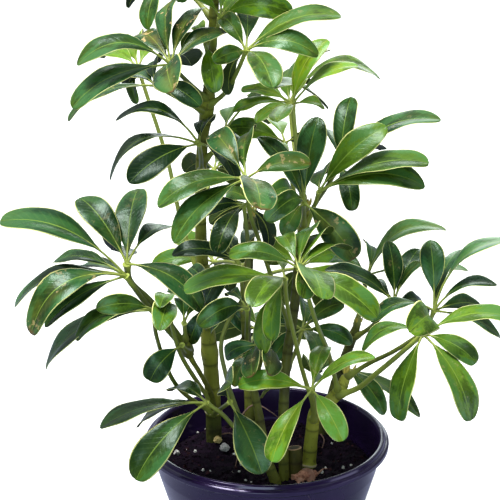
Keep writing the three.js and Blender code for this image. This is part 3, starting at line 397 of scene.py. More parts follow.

# A leaf is (its hub, its stem, the height on that as a down mark, its leaflets' length in mm,
# its tone, the marks that its stalk passes, its leaflets). The tone is below 0 on a leaf darkened
# towards deep green, partly an old leaf's own darker green and partly painted shade, and 1 on a
# young yellow one. A leaflet is (tip across, tip down, lean, width seen, arch in mm, stalk share);
# lean runs from -1, coming forward, to +1, going back.
FRONDS = {
    "top_1": (
        (171, 65, -42), "trunk", 100, 64, -0.05, [(189, 83, -14)], [(77, 65, -0.2, 19, 15),
        (72, 108, -0.4, 23, 9), (140, 35, 0.7, 24), (170, 2, 0.6, 19), (203, 8, 0.6, 17),
        (229, 32, 0.4, 16), (173, 92, -1, 30), (192, 66, 1, 9)]),
    "top_2": (
        (138, 68, 48), "trunk", 292, 64, 0.95, [(150, 105, 44), (168, 162, 40), (182, 225, 36)],
        [(110, 86, -0.5, 15), (137, 104, -0.7, 9), (165, 44, 0.6, 14), (104, 58, 0.6, 14),
        (140, 40, 0.8, 16)]),
    "top_3": (
        (156, 86, -20), "trunk", 112, 64, -0.35, [(178, 98, -4)], [(68, 121, 0, 10, 9),
        (200, 106, -0.4, 20), (128, 84, 0.8, 10), (160, 62, 0.9, 12)]),
    "top_4": (
        (246, 51, -38), "trunk", 106, 64, 0.16, [(235, 76, -20), (223, 95, 0)], [(245, 10, 0.6, 23),
        (222, 18, 0.6, 20), (213, 61, -0.3, 18, 3), (273, 88, -0.8, 27), (318, 56, -0.2, 21, 10),
        (341, 16, 0.1, 18, 9), (229, 95, 0.5, 13)]),
    "top_5": (
        (220, 18, -10), "trunk", 48, 56, 0.95, [(216, 34, 0)], [(292, 14, -0.2, 26, 12),
        (230, -24, 0.2, 15), (172, -12, -0.1, 16), (252, -3, 0.8, 18), (232, 20, 1, 10)]),
    "top_6": (
        (170, -20, 26), "trunk", 20, 56, 0.15, [(192, -4, 18)], [(148, 30, -0.5, 16), (128, 8, 0.1, 11),
        (112, -30, 0, 18), (142, -62, 0.3, 20), (188, -68, 0.4, 18), (178, 2, -0.9, 14)]),
    "top_7": (
        (206, 44, -14), "trunk", 76, 52, 1.0, [(208, 60, -4)], [(215, 93, -0.4, 22), (184, 52, 0.6, 14),
        (198, 30, 0.9, 16)]),
    "crown_1": (
        (216, -66, 4), "trunk", -24, 56, 0.15, [(215, -44, 5)], [(156, -50, -0.1, 20, 9),
        (178, -18, -0.6, 22), (224, -30, -1, 24), (262, -22, -0.5, 22), (292, -62, 0, 20, 9),
        (262, -104, 0.4, 20), (214, -112, 0.5, 20), (170, -98, 0.3, 20)]),
    "crown_2": (
        (250, -36, 52), "trunk", -8, 60, 0.1, [(234, -18, 26)], [(318, -22, 0, 20), (304, -62, 0.3, 18),
        (266, -84, 0.5, 18), (236, -60, 0.8, 16), (276, -2, -0.4, 20), (238, -14, 0.9, 16)]),
    "crown_3": (
        (190, -36, -38), "trunk", -2, 50, 0.15, [(202, -16, -14)], [(130, -46, 0, 16),
        (150, -12, -0.4, 18), (212, -12, -0.7, 18), (228, -52, 0.2, 18), (196, -76, 0.5, 20),
        (158, -74, 0.2, 18)]),
    "left_1": (
        (199, 144, -26), "trunk", 172, 64, -0.9, [(201, 158, -8)], [(116, 120, 0.1, 13, 15, 0.2),
        (110, 180, -0.1, 9, 17, 0.2), (129, 183, -0.6, 28), (236, 180, -0.5, 13), (212, 122, 0.9, 12)]),
    "light_1": (
        (293, 104, -8), "middle_cane", 212, 56, 0.95, [(295, 130, -10), (298, 160, -10), (302, 190, -7)],
        [(241, 90, 0, 11, 4, 0.16), (233, 112, -0.1, 11, 5, 0.16), (256, 123, -0.5, 11, 4),
        (277, 122, -0.8, 15, 3), (324, 107, 0.4, 11, 3), (328, 40, 0.1, 20), (358, 66, 0.1, 12),
        (308, 84, 0.9, 12)]),
    "right_1": (
        (224, 132, 6), "trunk", 162, 70, 0.3, [(218, 146, 12)], [(328, 109, 0.3, 13, 24),
        (244, 108, 0.9, 14), (236, 158, -0.4, 14)]),
    "right_2": (
        (290, 104, 66), "middle_cane", 222, 64, 0.75, [(292, 130, 62), (297, 168, 44), (302, 200, 16)],
        [(380, 79, 0.1, 12, 19), (330, 50, 0.6, 12), (292, 68, 0.7, 17), (250, 96, 0.6, 14)]),
    "right_3": (
        (340, 166, 24), "middle_cane", 228, 64, -0.2, [(326, 188, 16), (313, 208, 6)],
        [(441, 120, 0, 17, 11), (351, 97, 0.4, 23), (318, 128, 0.8, 14), (380, 150, 0.8, 12),
        (352, 211, -0.4, 20)]),
    "right_4": (
        (319, 192, -22), "middle_cane", 236, 64, 0.45, [(313, 210, -12)], [(387, 127, 0, 29),
        (429, 163, 0.35, 20, 9), (425, 187, -0.4, 27, 12), (330, 172, 0.9, 12)]),
    "right_5": (
        (304, 203, -36), "middle_cane", 226, 64, 0.16, [(304, 213, -20)], [(318, 117, 0.1, 29),
        (258, 137, 0.1, 19), (354, 259, -0.3, 32), (284, 237, -0.2, 20), (266, 221, -0.4, 22, 12)]),
    "teal_1": (
        (285, 143, 46), "middle_cane", 244, 64, 1.0, [(290, 172, 34), (297, 208, 14)],
        [(228, 130, 0.1, 21), (268, 124, 0.8, 16), (322, 150, 0.4, 18), (276, 170, -0.4, 18)]),
    "front_1": (
        (246, 179, -74), "middle_cane", 330, 64, 0.1, [(250, 213, -62), (259, 240, -48), (276, 290, -26)],
        [(213, 133, 0.6, 28), (252, 131, 0.7, 17), (311, 164, 0, 21), (261, 210, -1, 28),
        (158, 207, -0.2, 23, 9), (174, 243, -0.4, 25, 8)]),
    "front_2": (
        (244, 205, -40), "front_cane", 456, 64, -0.9, [(248, 250, -38), (246, 291, -36), (228, 322, -37),
        (221, 346, -38), (226, 375, -40), (234, 402, -40), (250, 438, -34)], [(203, 215, 0, 15),
        (217, 253, -0.5, 23), (268, 250, -0.4, 16), (276, 206, 0.4, 14)]),
    "front_3": (
        (299, 269, -98), "right_cane", 392, 64, 0.48, [(308, 297, -86), (317, 325, -66), (328, 352, -42)],
        [(315, 227, 0.7, 18), (330, 234, 0.8, 11), (348, 250, 0.7, 9), (377, 318, -0.1, 27, 6),
        (322, 299, -1, 20), (302, 298, -1, 16), (229, 255, 0, 19, 7), (282, 236, 0.7, 20)]),
    "front_4": (
        (285, 279, -84), "right_cane", 412, 64, 0.8, [(287, 303, -74), (294, 335, -54), (303, 372, -30)],
        [(184, 291, -0.1, 21, 7), (252, 307, -0.8, 25), (270, 265, 0.9, 9), (272, 341, -0.3, 19),
        (264, 353, 0.4, 20)]),
    "core_1": (
        (238, 262, -8), "front_cane", 314, 64, -0.8, [(242, 285, -16)], [(172, 255, 0, 17, 7),
        (205, 303, -0.2, 22), (262, 232, 0.6, 16), (214, 232, 0.6, 14)]),
    "left_2": (
        (127, 264, -44), "left_shoot", 352, 72, -0.4, [(130, 281, -40), (150, 301, -32), (172, 328, -20)],
        [(80, 198, 0.6, 30), (138, 189, 0.7, 30), (168, 226, 0.5, 17, 7, 0.28), (202, 311, -0.2, 25, 11),
        (112, 250, 1, 10)]),
    "left_3": (
        (126, 276, -54), "left_shoot", 355, 70, -0.2, [(141, 297, -46), (162, 323, -29)],
        [(0, 221, -0.1, 27, 13, 0.25), (31, 334, -0.3, 29, 20, 0.18), (45, 327, 0, 18, 6, 0.15),
        (15, 306, 0.3, 14, 13, 0.18), (54, 262, 0.4, 15, 8, 0.2), (74, 273, 0.7, 10)]),
    "left_4": (
        (153, 310, -56), "trunk", 414, 68, 0.06, [(157, 338, -38), (177, 386, -4)], [(96, 309, -0.2, 21),
        (76, 340, -0.2, 16, 10), (46, 369, 0, 18, 13, 0.15)]),
    "left_5": (
        (169, 304, -78), "trunk", 404, 48, 0.3, [(172, 326, -46), (181, 355, -22), (200, 386, 8)],
        [(159, 331, -0.9, 26), (160, 308, -0.7, 11)]),
    "left_6": (
        (184, 323, -36), "left_shoot", 341, 44, 0.18, [(185, 332, -24)], [(183, 299, 0.3, 18),
        (206, 300, 0.6, 14)]),
    "left_7": (
        (182, 345, -32), "left_shoot", 350, 46, -0.35, [(186, 349, -21)], [(150, 381, 0.2, 26)]),
    "core_2": (
        (247, 309, -52), "front_cane", 352, 64, -0.05, [(247, 330, -38)], [(199, 326, -0.3, 23, 11),
        (211, 333, 0.1, 9, 6), (262, 296, 0.8, 14), (228, 296, 0.8, 12)]),
    "core_3": (
        (263, 345, -52), "front_cane", 385, 64, 0.05, [(260, 365, -38)], [(234, 387, -0.2, 15),
        (252, 377, -0.7, 12), (268, 375, -0.8, 15), (226, 359, 0.3, 17)]),
    "low_1": (
        (207, 403, -46), "front_cane", 440, 72, 0.12, [(222, 414, -40), (240, 432, -34)],
        [(100, 428, 0, 17, 7), (136, 480, -0.3, 34, 9), (172, 391, 0.6, 15), (138, 427, 0.5, 11)]),
    "low_2": (
        (230, 402, -64), "trunk", 414, 64, -0.35, [(222, 408, -30)], [(262, 474, -0.3, 36, 7),
        (232, 384, -0.9, 10)]),
    "low_3": (
        (312, 390, -92), "right_cane", 420, 64, 0.66, [(314, 404, -60), (314, 414, -30)],
        [(238, 386, 0, 21), (272, 462, -0.3, 23, 6), (343, 441, -0.4, 24), (375, 357, 0, 14),
        (325, 347, 0.4, 19), (262, 398, 0.5, 9), (304, 368, 0.8, 8)]),
    "right_6": (
        (423, 334, -58), "right_cane", 396, 64, 0.5, [(402, 352, -48), (378, 372, -34), (356, 389, -16)],
        [(398, 420, 0.1, 23), (470, 421, -0.3, 25, 8, 0.17), (476, 363, 0, 21),
        (512, 318, 0, 17, 8, 0.16), (362, 352, -0.2, 13, 12), (409, 332, -0.95, 27, 13)]),
    "right_7": (
        (434, 311, -34), "right_cane", 378, 64, -0.15, [(426, 328, -32), (396, 350, -24),
        (368, 364, -12)], [(510, 240, 0, 12, 13, 0.28), (497, 285, 0, 11, 9, 0.2), (451, 266, 0.6, 10),
        (430, 240, 0.1, 25, 5, 0.25), (484, 312, 0.5, 17), (500, 337, 0.3, 12, 5), (460, 250, 0.5, 15),
        (371, 322, -0.35, 13, 10, 0.2)]),
    "right_8": (
        (394, 303, 18), "back_cane", 338, 64, -0.4, [(380, 318, 34), (367, 330, 48)],
        [(388, 241, 0.1, 20, 5, 0.2), (419, 249, 0.3, 20), (421, 262, -0.1, 9, 4, 0.3),
        (366, 286, 0.8, 11), (325, 270, 0, 16, 8), (425, 312, 0.6, 12)]),
    "right_9": (
        (368, 275, 52), "back_cane", 328, 64, 0.1, [(362, 300, 53)], [(446, 230, 0, 15, 16, 0.08),
        (367, 245, 0.6, 15), (330, 262, 0.4, 14), (468, 271, 0, 11, 6)]),
    "right_10": (
        (346, 368, 44), "back_cane", 374, 64, 0.15, [(343, 371, 54)], [(384, 415, -0.2, 19),
        (420, 417, 0.1, 15, 6), (322, 372, 0.4, 12)]),
    "back_1": (
        (256, 205, 112), "far_cane", 228, 64, 0.25, [(254, 214, 92)], [(306, 226, 0.2, 20),
        (292, 190, 0.5, 20), (262, 200, 1, 20), (226, 196, 0.5, 20), (210, 224, 0.2, 20),
        (250, 240, 0.4, 18)]),
    "back_2": (
        (214, 262, 118), "far_cane", 268, 64, 0.4, [(230, 262, 92)], [(152, 268, 0.2, 20),
        (176, 240, 0.6, 20), (214, 248, 1, 20), (252, 258, 0.6, 20), (192, 300, 0.4, 20),
        (230, 292, 0.7, 18)]),
    "back_3": (
        (300, 268, 118), "far_cane", 282, 64, 0.95, [(275, 272, 96)], [(356, 290, 0.2, 20),
        (338, 256, 0.5, 20), (304, 248, 0.9, 20), (264, 250, 0.5, 20), (280, 305, 0.4, 20),
        (322, 312, 0.4, 18)]),
    "back_4": (
        (262, 330, 122), "far_cane", 346, 64, 0.35, [(255, 336, 92)], [(210, 338, 0.3, 20),
        (236, 316, 0.7, 20), (270, 316, 0.9, 20), (312, 336, 0.4, 20), (288, 362, 0.4, 20),
        (238, 366, 0.4, 20)]),
    "core_4": (
        (302, 330, 14), "middle_cane", 372, 64, 0.14, [(296, 350, 4)], [(344, 304, 0.2, 19),
        (352, 344, 0, 18), (322, 366, -0.5, 17), (270, 366, -0.2, 18), (256, 318, 0.3, 18),
        (300, 300, 0.8, 16)]),
    "core_5": (
        (214, 300, -2), "trunk", 330, 64, -0.3, [(209, 314, 10)], [(168, 290, 0.4, 18),
        (190, 268, 0.7, 18), (232, 276, 0.8, 18), (246, 330, -0.3, 18), (190, 344, -0.2, 18)]),
    "back_5": (
        (214, 170, 72), "trunk", 206, 64, 0.5, [(209, 184, 46)], [(184, 172, 0.8, 18),
        (212, 152, 0.9, 18), (244, 160, 0.6, 18), (240, 186, 0.5, 18)]),
}
# The leaves with a young yellow skin.
YOUNG = ("light_1", "low_3")
# How spotted and brown a leaf is, where it is more than a little.
WORN = {"top_1": 1.0, "top_7": 0.5, "front_1": 0.6, "left_2": 0.22, "core_3": 0.8, "low_1": 0.6,
        "low_3": 0.35, "right_5": 0.4, "left_3": 0.35}
# Leaf stalks that are stouter than the rest, by how many times.
STOUT_STALKS = {"left_2": 1.6, "left_3": 1.25, "right_6": 1.2, "low_3": 1.15}

# The growing tips with buds: the stem, how many sheaths, and their length in mm.
BUDS = [("left_shoot", 3, 7), ("right_cane", 4, 10), ("middle_cane", 4, 8), ("front_cane", 3, 6),
        ("back_cane", 3, 8), ("far_cane", 4, 9)]

# Surface roots: marks of (across, down, height over the soil in mm), and how thick they are.
THIN_ROOTS = [
    ([(222, 437, 2), (231, 440, 5), (237, 452, 5), (237, 463, 3), (233, 471, -2)], 0.5),
    ([(321, 436, 1), (324, 445, 2), (320, 453, -2)], 0.5),
    ([(237, 441, -2), (241, 436, 14), (254, 431, 20), (271, 432, 19), (279, 438, 14), (284, 442, -2)], 0.6),
]
THICK_ROOTS = [
    ([(312, 478, -2), (318, 475, 0.8), (323, 470, 0.6), (330, 467, -2)], 0.8),
    ([(309, 474, -1), (303, 475, 0.2), (296, 477, -0.4), (288, 479, -4)], 4.6),
    ([(309, 474, -1), (311, 478, -0.6), (313, 483, -4)], 4.6),
    ([(306, 474, -1), (300, 480, -0.8), (297, 486, -4)], 3.6),
]
# The larger white grains as (across, down, radius in mm), then the pale lumps at the trunk.
PERLITE = [
    (177, 454, 2.0), (183, 460, 0.6), (195, 452, 1.1), (198, 433, 1.0), (206, 430, 0.9),
    (203, 471, 1.1), (210, 472, 0.9), (232, 473, 0.8), (239, 474, 0.8), (241, 465, 0.9),
    (322, 473, 1.2), (343, 468, 1.1), (351, 466, 1.0), (186, 450, 0.5), (332, 441, 0.8),
]
PALE_LUMPS = [(225, 448, 3.1)]
YELLOW_LUMPS = [(218, 442, 2.7)]
ORANGE_LUMPS = [(292, 475, 3.0), (296, 478, 3.4), (302, 477, 3.8), (308, 477, 3.8), (313, 475, 3.0),
                (289, 473, 2.2)]


# ---- sight lines and smooth paths ------------------------------------------------------
def sight_line(across, down):
    """The direction seen at a mark; its part along the view axis is 1."""
    line = AHEAD + ALOFT * ((PICTURE_MIDDLE - down) / STEPS_PER_UNIT)
    line[0] += (across - PICTURE_MIDDLE) / STEPS_PER_UNIT
    return line


def place(mark):
    """The point at a mark's depth."""
    line = sight_line(mark[0], mark[1])
    return EYE + line * ((mark[2] - EYE[1]) / line[1])


def down_of(point):
    offset = point - EYE
    return PICTURE_MIDDLE - STEPS_PER_UNIT * offset.dot(ALOFT) / offset.dot(AHEAD)


def unit(vector):
    return vector / np.linalg.norm(vector)


def smooth_point(points, share):
    """The point at a share of the centripetal curve through some points."""
    last = len(points) - 1
    slot = min(int(share * last), last - 1)
    rest = share * last - slot
    start, end = points[slot], points[slot + 1]
    before = points[slot - 1] if slot > 0 else 2 * start - end
    after = points[slot + 2] if slot + 2 <= last else 2 * end - start
    pairs = ((before, start), (start, end), (end, after))
    one, two, three = (math.sqrt(np.linalg.norm(b - a)) for a, b in pairs)
    leave = ((start - before) / one - (end - before) / (one + two) + (end - start) / two) * two
    arrive = ((end - start) / two - (after - start) / (two + three) + (after - end) / three) * two
    return (
        start
        + leave * rest
        + (-3 * start + 3 * end - 2 * leave - arrive) * rest**2
        + (2 * start - 2 * end + leave + arrive) * rest**3
    )


def smooth_path(points, step):
    """Points an even step apart along that curve, with the share of the marks at each."""
    shares = np.linspace(0.0, 1.0, PATH_SAMPLES * (len(points) - 1) + 1)
    dense = np.array([smooth_point(points, share) for share in shares])
    run = np.concatenate([[0.0], np.cumsum(np.linalg.norm(np.diff(dense, axis=0), axis=1))])
    wanted = np.linspace(0.0, run[-1], max(3, int(run[-1] / step) + 1))
    path = np.stack([np.interp(wanted, run, dense[:, k]) for k in range(3)], axis=1)
    return path, wanted, np.interp(wanted, run, shares)


def point_on_stem(stem, down):
    """The point of a stem's axis that is seen at a down mark."""
    points = [place(mark) for mark in STEMS[stem]["marks"]]
    trials = [smooth_point(points, i / STEM_SAMPLES) for i in range(STEM_SAMPLES + 1)]
    return min(trials, key=lambda point: abs(down_of(point) - down))


def hump(distance, width):
    """1 at no distance, falling smoothly away over a width."""
    return np.exp(-((distance / width) ** 2))


# ---- guides: what a tree grows a piece from --------------------------------------------
class Guide:
    """Paths and marks in millimetres, each point with its own values."""

    def __init__(self):
        self.points = []
        self.edges = []
        self.values = {name: [] for name in GUIDE_VECTORS + GUIDE_NUMBERS}

    def mark(self, point, **values):
        self.points.append(point)
        for name, column in self.values.items():
            empty = np.zeros(3) if name in GUIDE_VECTORS else 0.0
            column.append(values.get(name, empty))

    def path(self, points, thickness, **values):
        """Joined points; each value is one number, or one for each point."""
        first = len(self.points)
        columns = {name: np.broadcast_to(value, len(points)) for name, value in values.items()}
        for i, point in enumerate(points):
            own = {name: column[i] for name, column in columns.items()}
            self.mark(point, thickness=thickness[i] * MM, **own)
        self.edges += [(first + i, first + i + 1) for i in range(len(points) - 1)]

    def mesh(self, name):
        mesh = bpy.data.meshes.new(name)
        mesh.from_pydata([tuple(point * MM) for point in self.points], self.edges, [])
        for key, column in self.values.items():
            kind = "FLOAT_VECTOR" if key in GUIDE_VECTORS else "FLOAT"
            layer = mesh.attributes.new(key, kind, "POINT")
            flat = np.array(column, dtype=np.float32).ravel()
            layer.data.foreach_set("vector" if key in GUIDE_VECTORS else "value", flat)
        return mesh


# ---- node wiring -----------------------------------------------------------------------
def worked(operation, swapped=False):
    """A method that adds the node for an operation on a wire and the values it meets."""
    def method(wire, *others):
        values = (*others, wire) if swapped else (wire, *others)
        return wire.wiring.math(operation, *values)
    return method


class Wire:
    """A node's output. Arithmetic on wires adds the nodes that work it out."""

    def __init__(self, wiring, socket):
        self.wiring = wiring
        self.socket = socket

    __add__ = worked("ADD")
    __sub__ = worked("SUBTRACT")
    __rsub__ = worked("SUBTRACT", swapped=True)
    __truediv__ = worked("DIVIDE")
    __rtruediv__ = worked("DIVIDE", swapped=True)
    __pow__ = worked("POWER")
    __gt__ = worked("GREATER_THAN")
    __lt__ = worked("LESS_THAN")
    __abs__ = worked("ABSOLUTE")
    sine = worked("SINE")
    at_least = worked("MAXIMUM")
    cross = worked("CROSS_PRODUCT")
    normalized = worked("NORMALIZE")

    def __mul__(self, other):
        if self.socket.type == "VECTOR":
            inputs = {0: self, "Scale": other}
            return self.wiring.out("ShaderNodeVectorMath", inputs, operation="SCALE")
        return self.wiring.math("MULTIPLY", self, other)

    def __neg__(self):
        return self * -1.0

    def dot(self, other):
        return self.wiring.math("DOT_PRODUCT", self, other, output="Value")

    def redrawn(self, turns):
        """Another number from 0 to 1 out of a seed."""
        return self.wiring.math("FRACT", self * turns)

    def clamped(self):
        """This sum or product, kept between 0 and 1."""
        self.socket.node.use_clamp = True
        return self

    def ramp(self, low, high):
        """0 below low and 1 above high, with a soft step between."""
        inputs = {"Value": self, "From Min": low, "From Max": high}
        kind = "ShaderNodeMapRange"
        return self.wiring.out(kind, inputs, "Result", interpolation_type="SMOOTHSTEP")


class Wiring:
    """A node tree being wired."""

    def __init__(self, tree):
        self.tree = tree
        self.count = 0

    def node(self, kind, inputs=None, **settings):
        node = self.tree.nodes.new(kind)
        node.location = (220 * (self.count // 5), -180 * (self.count % 5))
        self.count += 1
        for key, value in settings.items():
            setattr(node, key, value)
        self.fill(node, inputs or {})
        return node

    def fill(self, node, inputs):
        """Each input of the node takes a wire or a plain value."""
        for key, value in inputs.items():
            if isinstance(value, Wire):
                self.tree.links.new(value.socket, node.inputs[key])
            else:
                node.inputs[key].default_value = value

    def out(self, kind, inputs=None, output=0, **settings):
        """The wire from one output of a new node."""
        return Wire(self, self.node(kind, inputs, **settings).outputs[output])

    def wires(self, kind, inputs=None, **settings):
        """The wires from all outputs of a new node, by name."""
        node = self.node(kind, inputs, **settings)
        return {socket.name: Wire(self, socket) for socket in node.outputs}

    def math(self, operation, *values, output=0):
        """A sum on numbers, or on vectors where one is among the values."""
        vectors = [v for v in values if isinstance(v, Wire) and v.socket.type == "VECTOR"]
        kind = "ShaderNodeVectorMath" if vectors else "ShaderNodeMath"
        return self.out(kind, dict(enumerate(values)), output, operation=operation)

    def blend(self, share, one, other):
        """A colour mixed from one towards the other."""
        return self.out("ShaderNodeMix", {0: share, 6: one, 7: other}, 2, data_type="RGBA")

    def joined(self, *parts):
        node = self.node("GeometryNodeJoinGeometry")
        for part in parts:
            self.tree.links.new(part.socket, node.inputs[0])
        return Wire(self, node.outputs[0])

    def group(self, tree, inputs):
        kind = "GeometryNodeGroup" if tree.bl_idname == "GeometryNodeTree" else "ShaderNodeGroup"
        return self.wires(kind, inputs, node_tree=tree)

    def close(self, outputs):
        """The finished tree, with its outputs wired."""
        self.node("NodeGroupOutput", outputs)
        return self.tree


def new_tree(name, kind, inputs, outputs):
    """The wiring and input wires of a new group. A socket is named by kind or starting value."""
    tree = bpy.data.node_groups.new(name, kind)
    for direction, sockets in (("INPUT", inputs), ("OUTPUT", outputs)):
        for label, value in sockets.items():
            plain = isinstance(value, str)
            socket_type = SOCKETS[value if plain else type(value)]
            made = tree.interface.new_socket(label, in_out=direction, socket_type=socket_type)
            if not plain:
                made.default_value = value
    wiring = Wiring(tree)
    return wiring, wiring.wires("NodeGroupInput")


def new_object(name, data):
    made = bpy.data.objects.new(name, data)
    bpy.context.scene.collection.objects.link(made)
    return made


# ---- geometry trees --------------------------------------------------------------------
def growing_tree(name, inputs):
    return new_tree(name, "GeometryNodeTree", inputs, {"Geometry": "geometry"})


def attribute(wiring, name, kind="FLOAT"):
    return wiring.out("GeometryNodeInputNamedAttribute", {"Name": name}, "Attribute", data_type=kind)


def stored(wiring, geometry, name, value):
    inputs = {"Geometry": geometry, "Name": name, "Value": value}
    return wiring.out("GeometryNodeStoreNamedAttribute", inputs, data_type="FLOAT", domain="POINT")


def merged(wiring, geometry, distance):
    inputs = {"Geometry": geometry, "Distance": distance * MM}
    return wiring.out("GeometryNodeMergeByDistance", inputs)


def finished(wiring, geometry, material, smooth=True):
    """How every piece's tree ends: instances made real, shaded and given their material."""
    real = wiring.out("GeometryNodeRealizeInstances", {"Geometry": geometry})
    shaded = wiring.out("GeometryNodeSetShadeSmooth", {"Geometry": real, "Shade Smooth": smooth})
    return wiring.out("GeometryNodeSetMaterial", {"Geometry": shaded, "Material": material})


def swept(wiring, paths, sides):
    """A round section swept along each path, as thick as the path's points say."""
    inputs = {
        "Curve": wiring.out("GeometryNodeMeshToCurve", {"Mesh": paths}),
        "Profile Curve": wiring.out(
            "GeometryNodeCurvePrimitiveCircle", {"Resolution": sides, "Radius": 1.0}
        ),
        "Scale": attribute(wiring, "thickness"),
        "Fill Caps": True,
    }
    return wiring.out("GeometryNodeCurveToMesh", inputs)


def stalk_tree():
    """Canes, leaf stalks and roots: a section swept along each path of the guide."""
    wiring, given = growing_tree(
        "stalks_along_paths", {"Guide": "geometry", "Sides": 12, "Bark": "material"}
    )
    tube = swept(wiring, given["Guide"], given["Sides"])
    return wiring.close({0: finished(wiring, tube, given["Bark"])})


def blade_blank(wiring, given):
    """A flat closed blade of length 1 and half width 1, with what each point stands for."""
    inputs = {
        "Size X": 2.0, "Size Y": 1.0,
        "Vertices X": given["Columns"], "Vertices Y": given["Stations"],
    }
    grid = wiring.out("GeometryNodeMeshGrid", inputs, "Mesh")
    split = wiring.wires("ShaderNodeSeparateXYZ", {0: wiring.out("GeometryNodeInputPosition")})
    to_tip = (0.5 - split["Y"]).clamped()
    eased = (1.0 - to_tip ** given["Tip spacing"]).clamped()
    # The columns stand closer towards the margins, so that the pale margin stays crisp.
    grid = stored(wiring, grid, "across", (split["X"] * (math.pi / 2)).sine())
    grid = stored(wiring, grid, "outline_at", eased)
    top = stored(wiring, grid, "underside", 0.0)
    flipped = wiring.out("GeometryNodeFlipFaces", {0: grid})
    return wiring.joined(top, stored(wiring, flipped, "underside", 1.0))


def outline_share(wiring, at):
    """How wide the blade is at a share of its length, from its drawn outline."""
    node = wiring.node("ShaderNodeFloatCurve", {"Factor": 1.0, "Value": at})
    curve = node.mapping.curves[0]
    curve.points[0].location = BLADE_OUTLINE[0]
    curve.points[1].location = BLADE_OUTLINE[-1]
    for spot in BLADE_OUTLINE[1:-1]:
        curve.points.new(*spot)
    node.mapping.update()
    return Wire(wiring, node.outputs[0])


def blade_position(wiring, given):
    """Where a point of the blank goes: along the arched midrib, out to the side and up."""
    hub, knee, tip, side = (attribute(wiring, name, "FLOAT_VECTOR") for name in GUIDE_VECTORS)
    across, along, seed, below, outline_at, half_width = (
        attribute(wiring, name)
        for name in ("across", "along", "seed", "underside", "outline_at", "half_width")
    )
    back = 1.0 - along
    centre = hub * (back * back) + knee * (back * along * 2.0) + tip * (along * along)
    tangent = ((knee - hub) * back + (tip - knee) * along).normalized()
    square = (side - tangent * side.dot(tangent)).normalized()
    # Leaflets are widest nearer the hub or nearer the tip, each its own way.
    at = outline_at ** (seed.redrawn(WIDEST_DRAW) * WIDEST_SPREAD + WIDEST_LEAST)
    # Some leaflets end blunt: there the far half of the outline is drawn fuller.
    blunt = at.ramp(*ZONES["blunt"]) * seed.redrawn(BLUNT_DRAW).ramp(*ZONES["blunt odds"])
    share = outline_share(wiring, at) ** (1.0 - blunt * given["Bluntness"])
    half = half_width * share
    size = abs(across)
    # The two halves stand up from the midrib, and the margin rolls back down.
    lift = size * half * given["Fold"] - size**4.0 * half * given["Margin roll"]
    # Slow waves run along each margin, out of step on its two sides and on every leaflet.
    turns = seed * WAVE_STRAY + given["Edge waves"]
    phase = along * turns + seed * WAVE_START + across * WAVE_SLANT
    lift = lift + phase.sine() * (size * size) * share * given["Wave height"]
    # Thickest along the midrib, nothing at the margin, where top and underside meet.
    thick = (1.0 - across * across) * (1.0 - below * 2.0) * given["Blade thickness"]
    groove = (1.0 - size.ramp(*ZONES["groove"])) * given["Midrib groove"]
    return centre + square * (across * half) + square.cross(tangent) * (lift + (thick - groove))


def compound_leaf_tree():
    """A compound leaf: stalks swept along the guide's paths, a blade bent onto each leaflet mark."""
    wiring, given = growing_tree("compound_leaf", {
        "Guide": "geometry", "Stalk sides": 9, "Columns": 9, "Stations": 17, "Tip spacing": 1.7,
        "Blade thickness": 0.26 * MM, "Midrib groove": 0.22 * MM, "Fold": 0.19,
        "Margin roll": 0.08, "Bluntness": 0.4, "Edge waves": 9.0, "Wave height": 0.75 * MM,
        "Stalk skin": "material", "Blade skin": "material",
    })
    on_blade = attribute(wiring, "leaflet_here")
    inputs = {
        "Points": given["Guide"], "Selection": on_blade > 0.5, "Instance": blade_blank(wiring, given)
    }
    blades = wiring.out("GeometryNodeInstanceOnPoints", inputs)
    blades = wiring.out("GeometryNodeRealizeInstances", {"Geometry": blades})
    start = attribute(wiring, "blade_start")
    along = attribute(wiring, "outline_at") * (1.0 - start) + start
    blades = stored(wiring, blades, "along", along)
    inputs = {"Geometry": blades, "Position": blade_position(wiring, given)}
    blades = merged(wiring, wiring.out("GeometryNodeSetPosition", inputs), MARGIN_WELD)
    stalks = swept(wiring, given["Guide"], given["Stalk sides"])
    leaf = finished(wiring, wiring.joined(blades, stalks), given["Blade skin"])
    inputs = {"Geometry": leaf, "Selection": on_blade < 0.5, "Material": given["Stalk skin"]}
    return wiring.close({0: wiring.out("GeometryNodeSetMaterial", inputs)})


